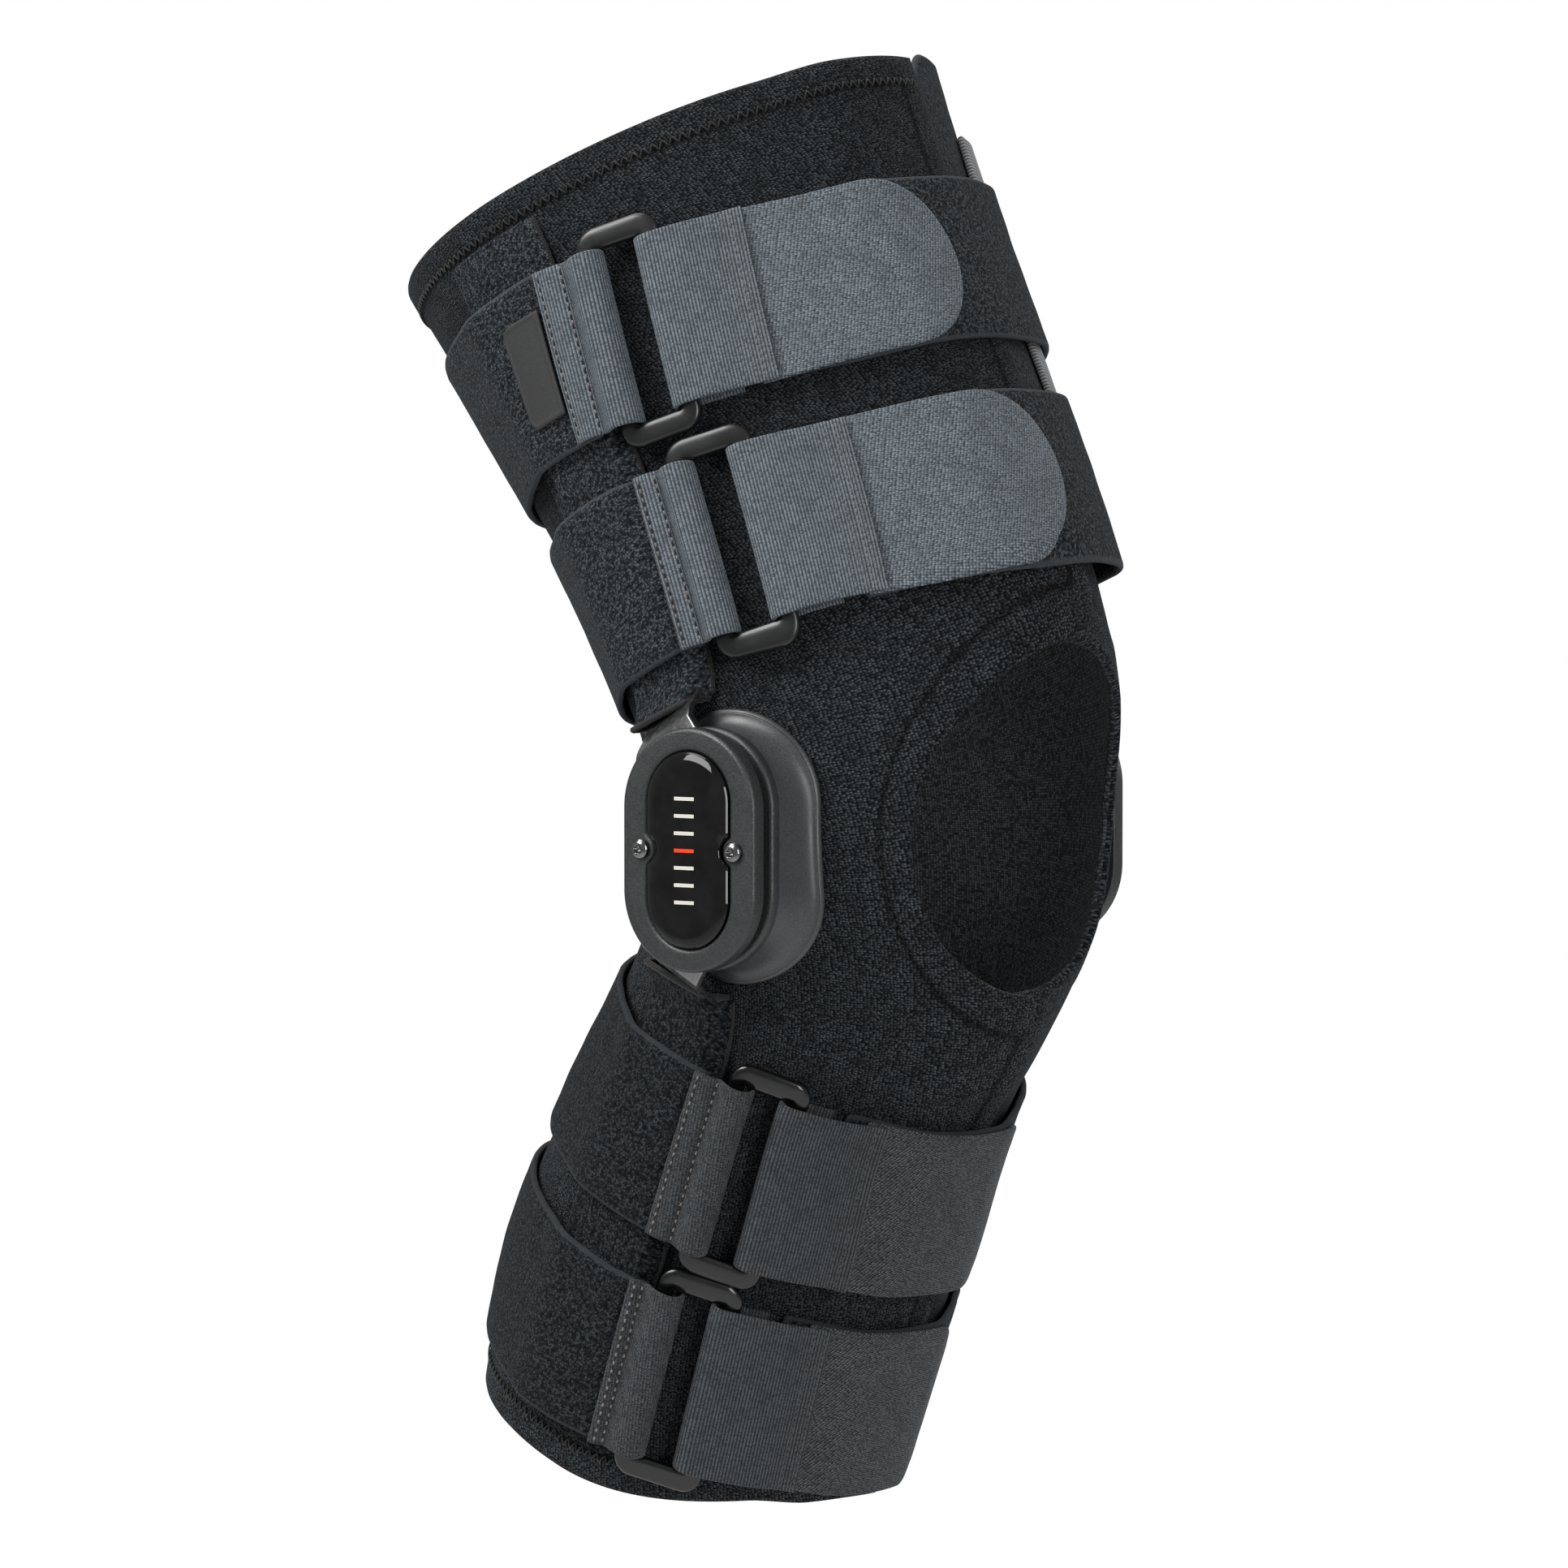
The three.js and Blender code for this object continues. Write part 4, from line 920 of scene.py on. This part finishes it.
def overlock(name, place, along, across, radius):
    """Thread wrapped over a cut edge, in close even turns."""
    path = place(along, across, 0.0)
    ups = place(along, across, 1.0) - path
    turns = 0.5 + 0.5 * np.cos(2 * np.pi * run_length(path) / OVERLOCK.turn)
    points, faces = tubes(path[None], ups[None], radius * (0.8 + 0.2 * turns)[None], 10)
    add_piece(name, points, faces, BLACK_THREAD)


def pocket(side, part, direction, mirror):
    hem = abs(TOP_EDGE.station if direction > 0 else BOTTOM_EDGE.station) - HEM.width
    length = hem - POCKET.hem_space - POCKET.mouth + POCKET.droop
    width = POCKET.back - POCKET.front
    place = pocket_place(direction, mirror)
    name = f"{side}_{part}_pocket"
    sheet(name, (length, width), place, POCKET.wall, (1.6, 0.9), (POCKET.corner, POCKET.corner), PLUSH[part],
          pocket_relief, POCKET.margin)
    run = np.arange(OVERLOCK.start, length - 1, OVERLOCK.step)
    for end, edge in (("front", -1), ("back", 1)):
        overlock(f"{name}_overlock_{end}", place, run, edge * (width / 2 - OVERLOCK.inset), OVERLOCK.side)
    run = np.arange(-width / 2 + OVERLOCK.start, width / 2 - 1.4, OVERLOCK.step)
    overlock(f"{name}_overlock_mouth", place, 0.5, run, OVERLOCK.mouth)


# Hinge: loops for the outer side, which are mirrored for the inner one


def stadium(turns, half_width, half_height):
    """Distance from the middle to the edge of an oblong with round ends, by direction."""
    straight = half_height - half_width
    c, s = np.abs(np.cos(turns)), np.abs(np.sin(turns))
    side = half_width / np.maximum(c, 1e-9)
    end = straight * s + np.sqrt(np.maximum(half_width**2 - (straight * c) ** 2, 0))
    return np.where(side * s <= straight, side, end)


def even_turns(count):
    """Directions that lie evenly along the cover's edge."""
    fine = np.linspace(0, 2 * np.pi, 2001)
    reach = stadium(fine, COVER.half_width, COVER.half_height)
    measured = run_length(reach[:, None] * circle(fine))
    return np.interp(np.arange(count) / count * measured[-1], measured, fine)


TURNS = even_turns(168)


def hinge_loop(reach, distance):
    """A loop about the hinge's middle, at a distance from the middle plane of the leg."""
    away = np.broadcast_to(distance, reach.shape)
    return np.stack([reach * np.cos(TURNS), -away, reach * np.sin(TURNS)], axis=1)


def shell_loops(size, back, face):
    """A plate of the cover's outline, with a small lip behind and a round edge in front."""
    rows = [(size.lip * (1 - math.sin(t)), back + size.lip * (1 - math.cos(t))) for t in arc(7)]
    rows += [(size.edge * (1 - math.cos(t)), face - size.edge * (1 - math.sin(t))) for t in arc(7)]
    return [hinge_loop(stadium(TURNS, COVER.half_width - inset, COVER.half_height - inset), distance)
            for inset, distance in rows]


def badge_reach(inset):
    """The badge's outline, hollowed beside the two screws."""
    reach = stadium(TURNS, BADGE.half_width - inset, BADGE.half_height - inset)
    c, s = np.abs(np.cos(TURNS)), np.abs(np.sin(TURNS))
    under = (BADGE.notch + inset) ** 2 - (SCREW.x * s) ** 2
    notch = np.where(under > 0, SCREW.x * c - np.sqrt(np.maximum(under, 0)), 1e9)
    return np.minimum(reach, notch)


def cover_loops():
    """The cover, with a bevelled recess for the badge."""
    loops = shell_loops(COVER, COVER_BACK, COVER_FACE)
    loops += [hinge_loop(badge_reach(-outward), COVER_FACE - depth) for outward, depth in RECESS_ROWS]
    return [*loops, hinge_loop(0.4 * badge_reach(0), COVER_FACE - BADGE.recess)]


def badge_loops():
    """A dome with a slanting edge."""
    edge = BADGE.seat + BADGE.slant_rise
    rows = [(0, BADGE.seat - BADGE.recess)]
    rows += [(BADGE.slant * share, BADGE.seat + BADGE.slant_rise * share) for share in (0, 0.08, 0.92, 1)]
    for share in np.linspace(0.1, 1, 10):
        inset = BADGE.slant + (BADGE.crown - BADGE.slant) * share
        rows.append((inset, edge + (BADGE.dome - BADGE.crest - edge) * (1 - (1 - share) ** 2)))
    loops = [hinge_loop(badge_reach(GAP + inset), COVER_FACE + height) for inset, height in rows]
    inner = badge_reach(GAP + BADGE.crown)
    top = [hinge_loop(share * inner, COVER_FACE + BADGE.dome - BADGE.crest * share**2)
           for share in (0.8, 0.6, 0.4, 0.2)]
    return [loops[0] * (0.4, 1, 0.4), *loops, *top]


def pad_loops():
    """Dished pad: its back follows the sleeve, and its neck flares to a thin lipped flange."""
    full = stadium(TURNS, PAD.half_width, PAD.half_height)

    def back(scale):
        reach = scale * full
        return side_distance(reach * np.cos(TURNS), reach * np.sin(TURNS), SLEEVE_WALL + 2 * GAP)

    rows = [(scale, back(scale)) for scale in (0.3, 0.6, 0.85, 0.965)]
    lip = PAD.rim / 2
    for t in arc(9, -75, 75):
        scale = 1 - lip * (1 - math.cos(t)) / PAD.half_width
        rows.append((scale, back(scale) + lip * (1 + math.sin(t))))
    for share in np.linspace(0.9, 0, 16):
        scale = PAD.neck + (1 - PAD.neck) * share
        rows.append((scale, PAD_FACE + (back(scale) + PAD.rim - PAD_FACE) * (1 - (1 - share) ** 3)))
    rows.append((0.4, PAD_FACE))
    return [hinge_loop(scale * full, distance) for scale, distance in rows]


def screw_loops(sign):
    """Button head with a six-sided socket."""
    turns = np.radians(np.arange(0, 360, 10))
    six = np.cos(np.pi / 6) / np.cos((turns % (np.pi / 3)) - np.pi / 6)
    rows = [(SCREW.head, 0.1, 1)]
    for t in np.radians((0, 15, 30, 45, 56)):
        rows.append((SCREW.head * math.cos(t) ** 0.75, SCREW.height * (0.3 + 0.7 * math.sin(t)), 1))
    for wide, high in ((1.25, 0.97), (1.1, 0.93), (1, 0.85), (1, 0.35)):
        rows.append((SCREW.socket * wide, SCREW.height * high, six))
    loops = []
    for radius, up, shape in rows:
        x, z = radius * shape * np.cos(turns), radius * shape * np.sin(turns)
        loops.append(np.stack([sign * SCREW.x + x, np.full_like(x, -COVER_FACE - up), z], axis=1))
    return loops


def round_corners(half_width, half_height, radius, count):
    """The four corners of a rounded rectangle, each a row of flat points."""
    signs = np.array([(1, 1), (-1, 1), (-1, -1), (1, -1)])
    turns = np.stack([arc(count, quarter, quarter + 90) for quarter in (0, 90, 180, 270)])
    middles = signs * (half_width - radius, half_height - radius)
    return middles[:, None] + radius * circle(turns)


def bar_section(middle, width, out, half):
    """Loop of a flat bar with rounded edges, standing on its middle point."""
    across, up = round_corners(half, ARM.wall / 2, ARM.edge, 5).reshape(-1, 2).T
    return middle + across[:, None] * width + (up + ARM.wall / 2)[:, None] * out


def arm_loops(direction):
    """Flat bar from its pivot, out past the plates, then down into the pocket."""
    half = ARM.width / 2
    pivot = np.array([0, 0, direction * ARM.pivot])

    def in_pocket(along, turn, height):
        return on_leg(direction * along, arm_angle(direction * along) + turn, height)

    to_seat = (in_pocket(ARM.seat, 0, 0) - pivot) * (1, 0, 1)
    length = np.linalg.norm(to_seat)
    run = to_seat / length
    across = np.array([run[2], 0, -run[0]])
    outward = np.array([0, -1, 0])
    top = ARM_FACE - ARM.wall
    loops = []
    for share in (-0.97, -0.8, -0.5, 0, 1, ARM.leaving):
        middle = pivot + run * share * half - (0, top, 0)
        loops.append(bar_section(middle, across, outward, half * math.sqrt(1 - min(share, 0) ** 2)))
    leaving = ARM.leaving * half / length
    for share in np.linspace(0.08, 0.92, 12):
        middle = pivot + to_seat * (leaving + share * (1 - leaving))
        low = side_distance(middle[0], middle[2], SLEEVE_WALL + ARM.clear)
        drop = float(smooth_step(-0.1, 1.05, share))
        loops.append(bar_section(middle - (0, top + (low - top) * drop, 0), across, outward, half))
    for along in (ARM.seat, 49, 53, 58, 66, 76, 90, 108, 126, ARM.end - 6, ARM.end):
        width = direction * unit(in_pocket(along, -1, 0) - in_pocket(along, 1, 0))
        out = unit(in_pocket(along, 0, 1) - in_pocket(along, 0, 0))
        middle = in_pocket(along, 0, SLEEVE_WALL + ARM.clear)
        loops.append(bar_section(middle, width, out, half * (0.55 if along == ARM.end else 1)))
    return loops


HINGE_PIECES = [
    ("pad", "shell", pad_loops(), PAD_PLASTIC, "hinge_plastic"),
    ("plate", "shell", shell_loops(PLATE, PAD_FACE + GAP, PLATE_FACE), COVER_PLASTIC, "hinge_plastic"),
    ("upper_arm", "bar", arm_loops(1), ARM_METAL, "arm_metal"),
    ("lower_arm", "bar", arm_loops(-1), ARM_METAL, "arm_metal"),
    ("cover", "shell", cover_loops(), COVER_PLASTIC, "hinge_plastic"),
    ("badge", "dome", badge_loops(), GLOSS, "badge_gloss"),
    ("screw_front", "head", screw_loops(1), SCREW_METAL, "screw_metal"),
    ("screw_back", "head", screw_loops(-1), SCREW_METAL, "screw_metal"),
]

for side, mirror in (("outer", 1), ("inner", -1)):
    pocket(side, "thigh", 1, mirror)
    pocket(side, "calf", -1, mirror)
    for part, form, loops, material, slot in HINGE_PIECES:
        node = f"{side}_hinge_{part}"
        points, faces = loft(loops)
        add_piece(f"{node}_{form}", points * (1, mirror, 1), faces, material, [node])


# Straps


def on_strap(strap, angle, across, height):
    turned = angle + strap.skew * across
    drop = strap.front_drop * np.maximum(0, np.cos(np.radians(turned)))
    return on_leg(strap.middle - drop + across, turned, height)


def strap_bed(strap):
    """Rows of angle and height that a strap meets from the outer pocket round the back to the ring."""
    outer = [(float(beside_arm(strap.middle, across)), height) for across, height in POCKET_BED]
    inner = [(360 - angle, height) for angle, height in reversed(outer)]
    return np.array([*outer, *inner, *FRONT_BED[strap.on], *LAP_BED])


def bed_height(strap, angle):
    angle = np.where(np.asarray(angle) < BED_START, np.asarray(angle) + 360, angle)
    return np.interp(angle, strap.bed[:, 0], strap.bed[:, 1])


def band_top(strap, angle):
    return bed_height(strap, angle) + GAP + BAND_WALL


def ring_degrees(strap, length):
    return np.degrees(length / strap.ring_radius)


def bar_loop(strap, bar_angle, towards, top):
    """Half turn of webbing round one of the ring's bars, up to a height."""
    turns = np.linspace(0, np.pi, 15)
    angles = bar_angle + towards * ring_degrees(strap, LOOP_RADIUS * np.sin(turns))
    return list(zip(angles, RING_LOW + (top - RING_LOW) * (1 - np.cos(turns)) / 2))


def rounded_off(points, rounds=3):
    """Cuts the corners of a line."""
    for _ in range(rounds):
        a, b = points[:-1], points[1:]
        cut = np.stack([0.75 * a + 0.25 * b, 0.25 * a + 0.75 * b], axis=1).reshape(-1, 2)
        points = np.concatenate([points[:1], cut, points[-1:]])
    return points


def filled(points, step):
    """Adds points along the long stretches of a line of angle and height."""
    parts = np.maximum(1, np.round(np.abs(np.diff(points[:, 0])) / step).astype(int))
    rows = [a + (b - a) * k / n for a, b, n in zip(points[:-1], points[1:], parts) for k in range(n)]
    return np.array([*rows, points[-1]])


def make_route(strap, rows, towards):
    """A strap's middle line by its length: angle, height, and its direction outwards."""
    angle, height = rounded_off(filled(np.array(rows, float), 4)).T
    run = unit(np.gradient(np.stack([np.radians(angle) * strap.ring_radius, height], axis=1), axis=0))
    length = run_length(on_strap(strap, angle, np.zeros_like(angle), height))
    out_angle = -towards * np.degrees(run[:, 1] / strap.ring_radius)
    out_height = towards * run[:, 0]
    return Sizes(length=length, angle=angle, height=height, out_angle=out_angle, out_height=out_height)


def pocket_turn(strap, across, angle):
    """Degrees that a band's edge shifts to stay with the slanting pockets that it crosses."""
    side = np.minimum(angle, 360 - angle)
    share = smooth_step(70, 80, side) * (1 - smooth_step(130, 175, side))
    turn = arm_angle(strap.middle + across) - arm_angle(strap.middle)
    return np.sign(180 - angle) * share * turn


def route_place(strap, route, follows_pockets=False):
    def place(along, across, offset):
        def read(values):
            return np.interp(along, route.length, values)
        angle = read(route.angle) + read(route.out_angle) * offset
        if follows_pockets:
            angle = angle + pocket_turn(strap, across, angle)
        return on_strap(strap, angle, across, read(route.height) + read(route.out_height) * offset)

    return place


def strap_cloth(strap, part, route, wall, steps, corners, finish, relief):
    """A piece of a strap along its route, with slightly wavy edges."""
    node = f"{strap.name}_{part}"
    place = route_place(strap, route, part == "band")

    def waved(along, across, offset):
        wave = WAVE.height * np.sin(along / WAVE.length + strap.middle)
        return place(along, across + wave * np.sign(across) * (np.abs(across) > 5), offset)

    size = (route.length[-1], STRAP_WIDTH)
    sheet(node, size, waved, wall, steps, corners, finish[strap.on], relief)


def strap_ring(strap):
    """Rounded frame that follows the leg, with satin rounded bars."""
    wide, thick = RING.face / 2, RING.bar / 2
    half_pitch = RING.pitch / 2 + RING_SPREAD[strap.on]
    half_length = RING.length / 2 - wide
    corner = RING.corner - wide
    quarters = round_corners(half_pitch, half_length, corner, 9)
    long = (half_length - corner) * (2 * np.linspace(0.1, 0.9, 9) - 1)
    bar = np.stack([np.full_like(long, half_pitch), long], axis=1)
    path = np.concatenate([*quarters[:2], -bar, *quarters[2:], bar])
    run = unit(np.roll(path, -1, axis=0) - np.roll(path, 1, axis=0))
    around = circle(np.radians(np.arange(0, 360, 12)))
    section = np.sign(around) * np.abs(around) ** RING.crown * (wide, thick)
    broad = 1 + RING.broad * smooth_step(0.85 * half_length, half_length, np.abs(path[:, 1]))
    flat = path[:, None, :] + beside(run)[:, None, :] * section[None, :, :1] * broad[:, None, None]
    angle = strap.ring_angle - ring_degrees(strap, flat[..., 0])
    points = on_strap(strap, angle, flat[..., 1], RING_HEIGHT + section[None, :, 1])
    index = np.arange(angle.size).reshape(angle.shape)
    index = np.pad(index, ((0, 1), (0, 1)), mode="wrap")
    node = f"{strap.name}_ring"
    material = RING_PLASTIC[strap.on]
    add_piece(node + "_frame", points.reshape(-1, 3), [quads(index)], material, [node])


def ribs(along, _):
    return RIB.height * np.cos(2 * np.pi * along / RIB.pitch)


def cross_rows(name, strap, route, rows, size, material, arch):
    """Stitches in rows across a strap's outer side."""
    place = route_place(strap, route)
    length = size.pitch * size.fill
    places = np.arange(size.shift * size.pitch - size.half, size.half - length, size.pitch)
    along = np.repeat(rows, len(places))
    across = np.tile(places, len(rows))
    starts = place(along, across, WEB_WALL / 2)
    ends = place(along, across + length, WEB_WALL / 2)
    ups = place(along, across, WEB_WALL / 2 + 1) - starts
    stitches(f"{strap.name}_{name}", starts, ends, ups, material, size.thread, arch)


def laid_route(strap, angles, base, lift, towards):
    """The route of a piece that lies on another, without the strap's skew."""
    rows = [(angle, float(base(strap, angle)) + lift) for angle in angles]
    return make_route(strap.straight, rows, towards)


def strap_band(strap):
    """Plush band round the back, the inner side and the front."""
    start = strap.keeper_end - KEEPER.lap
    end = strap.fold_end - BAND_SPACE + 360
    knots = [angle for angle in strap.bed[:, 0] if start < angle < end]
    band = laid_route(strap, (start, *knots, end), bed_height, GAP + BAND_WALL / 2, 1)
    strap_cloth(strap.straight, "band", band, BAND_WALL, (2.4, 2.4), (1.5, 1.5), PLUSH,
                lambda a, c: 0.14 * ripple(a, c, 14))


def strap_keeper(strap):
    """Keeper rolled round the back bar, pinched by its inner seam, its end sewn on the band."""
    bar = strap.back_bar
    top = float(band_top(strap, strap.keeper_end)) + 2 * GAP + WEB_WALL / 2
    crown = max(top, RING_HIGH) + ROLL.rise
    pinch = bar + ring_degrees(strap, strap.roll)
    rows = [(bar + ring_degrees(strap, 2 * GAP), RING_LOW), *bar_loop(strap, bar, -1, crown),
            (bar + ring_degrees(strap, 0.35 * strap.roll), crown), (pinch, top - ROLL.dip),
            (pinch + ring_degrees(strap, ROLL.flat), top), (strap.keeper_end, top)]
    keeper = make_route(strap, rows, 1)
    strap_cloth(strap, "keeper", keeper, WEB_WALL, (RIB.step, 2), (0, 0), KEEPER_TAPE, ribs)
    to_pinch = np.radians(strap.keeper_end - pinch) * strap.ring_radius - 0.4
    seams = keeper.length[-1] - np.array([KEEPER.seam, to_pinch])
    cross_rows("keeper_stitches", strap, keeper, seams, KEEPER, LIGHT_THREAD, 0.3)
    # Black thread dashes between the light stitches, painted shade where the stitch holes are.
    cross_rows("keeper_hole_shade", strap, keeper, seams, KEEPER_HOLE_SHADE, BLACK_THREAD, 0.1)


def strap_elastic(strap):
    """Elastic folded round the front bar, its end sewn over the hook tab."""
    name, bar = strap.name, strap.front_bar
    to_tab = strap.tab_start - bar

    def over_tab(angle):
        return float(band_top(strap, angle - 2)) + 3.5 * GAP + 1.5 * WEB_WALL

    rows = [(strap.fold_end, RING_LOW), ((strap.fold_end + bar) / 2, RING_LOW),
            *bar_loop(strap, bar, 1, RING_HIGH), (bar + 0.35 * to_tab, RING_HIGH - 0.5),
            (bar + 0.75 * to_tab, over_tab(strap.tab_start) + 1),
            (strap.tab_start, over_tab(strap.tab_start) + 0.1), (strap.seam, over_tab(strap.seam) + 0.05)]
    elastic = make_route(strap, rows, -1)
    strap_cloth(strap, "elastic", elastic, WEB_WALL, (RIB.step, 2), (0, 0), ELASTIC, ribs)
    seams = elastic.length[-1] - np.array(SEAM.rows)
    cross_rows("seam_stitches", strap, elastic, seams, SEAM, SEAM_THREAD[strap.on], 0.2)


def strap_tab(strap):
    """Hook tab on the band, with its free end rounded."""
    start = strap.tab_start + 1
    knots = [angle - 360 for angle in strap.bed[:, 0] if strap.tab_end < angle - 360 < start]
    tab = laid_route(strap, (start, *reversed(knots), strap.tab_end), band_top, 2 * GAP + WEB_WALL / 2, -1)
    strap_cloth(strap.straight, "hook_tab", tab, WEB_WALL, (2, 2), (0, strap.corner), HOOK_TAPE,
                lambda a, c: 0.03 * ripple(a, c, 8))


def measure(strap):
    """Adds to a strap what follows from its own sizes, and the same strap without its skew."""
    strap.ring_radius = float(leg_size("side", np.array(strap.middle))) + RING.out
    strap.bed = strap_bed(strap)
    half_pitch = ring_degrees(strap, RING.pitch / 2)
    strap.back_bar = strap.ring_angle + half_pitch
    strap.front_bar = strap.ring_angle - half_pitch
    strap.fold_end = strap.front_bar - ring_degrees(strap, FOLD_LENGTH)
    strap.tab_start = strap.seam + SEAM.lap
    strap.straight = Sizes(**{**vars(strap), "skew": 0})


for strap in STRAPS:
    measure(strap)
    strap_band(strap)
    strap_ring(strap)
    strap_keeper(strap)
    strap_elastic(strap)
    strap_tab(strap)


# Bare rubber label beside the upper thigh keeper


def label(strap):
    radius = strap.ring_radius + LABEL.out
    size = (np.radians(LABEL.end - LABEL.start) * radius, LABEL.top - LABEL.bottom)
    grid = patch(*size, LABEL.wall, (0.5, 0.5), (0, LABEL.corner))
    rim = LABEL.rim * (1 - smooth_step(1.0, 1.5, grid[2]))

    def place(along, across, offset):
        angle = LABEL.start + np.degrees(along / radius)
        height = band_top(strap, angle) + GAP + LABEL.wall / 2 + offset
        return on_strap(strap, angle, across + (LABEL.top + LABEL.bottom) / 2 - strap.middle, height)

    cloth("thigh_upper_label_tag", "thigh_upper_label", place, grid, LABEL.wall, RUBBER, rim)


label(STRAPS[0])


# Hem stitching on the sleeve


def sewn_line(name, station, angle, offset, fill, arch):
    """Threads from point to point on the sleeve, each over a share of its way."""
    height = SLEEVE_WALL + HEM.rise + sleeve_lift(angle) + offset
    points = on_leg(station, angle, height)
    ups = on_leg(station, angle, height + 1) - points
    ends = points[:-1] + fill * np.diff(points, axis=0)
    stitches(name, points[:-1], ends, ups[:-1], BLACK_THREAD, HEM_THREAD, arch)


def zigzag(name, edge, inward, angles):
    """Zigzag threads along a hem."""
    widths = np.where(np.arange(len(angles)) % 2, *ZIGZAG) * inward
    station = edge.station + edge.rise * front_share(angles) + widths
    sewn_line(name, station, angles, 0, 1, 0.3)


def kneecap_seam(side, edge, inward):
    """Straight stitches along the hem of the kneecap hole on one panel."""
    station = KNEECAP.station + KNEECAP.half_height * np.sin(arc(400, -80, 80))
    flat = np.stack([sleeve_flat(station, sleeve_edges(station)[edge]), station], axis=1)
    run = unit(np.gradient(flat, axis=0))
    flat = flat + inward * HEM.seam * beside(run)
    measured = run_length(flat)
    even = np.arange(0, measured[-1], KNEE_STITCH.pitch)
    along, station = (np.interp(even, measured, flat[:, k]) for k in (0, 1))
    angle = 180 + np.degrees(along / mean_radius(station))
    sewn_line(f"{side}_kneecap_stitches", station, angle, KNEE_STITCH.sunk, KNEE_STITCH.fill, 0.25)


zigzag("top_hem_stitches", TOP_EDGE, -1, np.arange(-6, 300, 1.05))
zigzag("bottom_hem_stitches", BOTTOM_EDGE, 1, np.arange(-6, 345, 1.25))
kneecap_seam("outer", 0, 1)
kneecap_seam("inner", 1, -1)


# Studio


def camera():
    a, e = math.radians(AZIMUTH), math.radians(ELEVATION)
    back = Vector((math.sin(a) * math.cos(e), -math.cos(a) * math.cos(e), math.sin(e)))
    right = Vector((math.cos(a), math.sin(a), 0))
    up = back.cross(right)
    across = (PICTURE / 2 - KNEE_PIXEL[0]) / PIXELS_PER_MM
    above = (KNEE_PIXEL[1] - PICTURE / 2) / PIXELS_PER_MM
    made = bpy.data.cameras.new("camera")
    made.sensor_width = 36
    made.lens = made.sensor_width * DISTANCE / (PICTURE / PIXELS_PER_MM)
    made.clip_end = 100
    placed = linked("camera", made)
    where = (back * DISTANCE + right * across + up * above) * MM
    placed.matrix_world = Matrix.Translation(where) @ Matrix((right, up, back)).transposed().to_4x4()
    bpy.context.scene.camera = placed


def softbox(name, place, target, size, power):
    made = bpy.data.lights.new(name, "AREA")
    made.shape = "RECTANGLE"
    made.size, made.size_y = size
    made.energy = power
    placed = linked(name, made)
    placed.location = place
    placed.rotation_euler = (Vector(target) - Vector(place)).to_track_quat("-Z", "Y").to_euler()
    placed.visible_camera = False


def floor():
    """Pale round floor well below the brace, which is shown as worn. It thins out towards its edge."""
    drop = cad_box[0].z - FLOOR.drop
    turns = np.linspace(0, 2 * np.pi, 96, endpoint=False)
    rim = [(FLOOR.radius * math.cos(t), FLOOR.radius * math.sin(t), drop) for t in turns]
    mesh = bpy.data.meshes.new("floor")
    mesh.from_pydata(rim, [], [tuple(range(len(rim)))])
    f = Finish("pale_floor", Roughness=0.9, Specular_IOR_Level=0.1)
    f.put("Base Color", f.mix(f.grain(60), (0.88, 0.88, 0.88, 1), (0.91, 0.91, 0.91, 1)))
    away = f.node("VectorMath", {0: f.solid(1000)}, operation="LENGTH").outputs["Value"]
    f.put("Alpha", f.ranged(away, FLOOR.fade, FLOOR.radius, 1, 0))
    mesh.materials.append(f.material)
    linked("floor", mesh)


def surroundings():
    """Even light from all round, before a white backdrop."""
    world = bpy.data.worlds.new("studio")
    world.use_nodes = True
    nodes, links = world.node_tree.nodes, world.node_tree.links
    light = nodes["Background"]
    backdrop = nodes.new("ShaderNodeBackground")
    for background in (light, backdrop):
        background.inputs["Color"].default_value = (1, 1, 1, 1)
    light.inputs["Strength"].default_value = ROOM_LIGHT
    seen = nodes.new("ShaderNodeMixShader")
    links.new(nodes.new("ShaderNodeLightPath").outputs["Is Camera Ray"], seen.inputs[0])
    links.new(light.outputs[0], seen.inputs[1])
    links.new(backdrop.outputs[0], seen.inputs[2])
    links.new(seen.outputs[0], nodes["World Output"].inputs["Surface"])
    bpy.context.scene.world = world
    bpy.context.scene.view_settings.view_transform = "Standard"


camera()
floor()
surroundings()
for name, light in LIGHTS.items():
    softbox(name, *light)
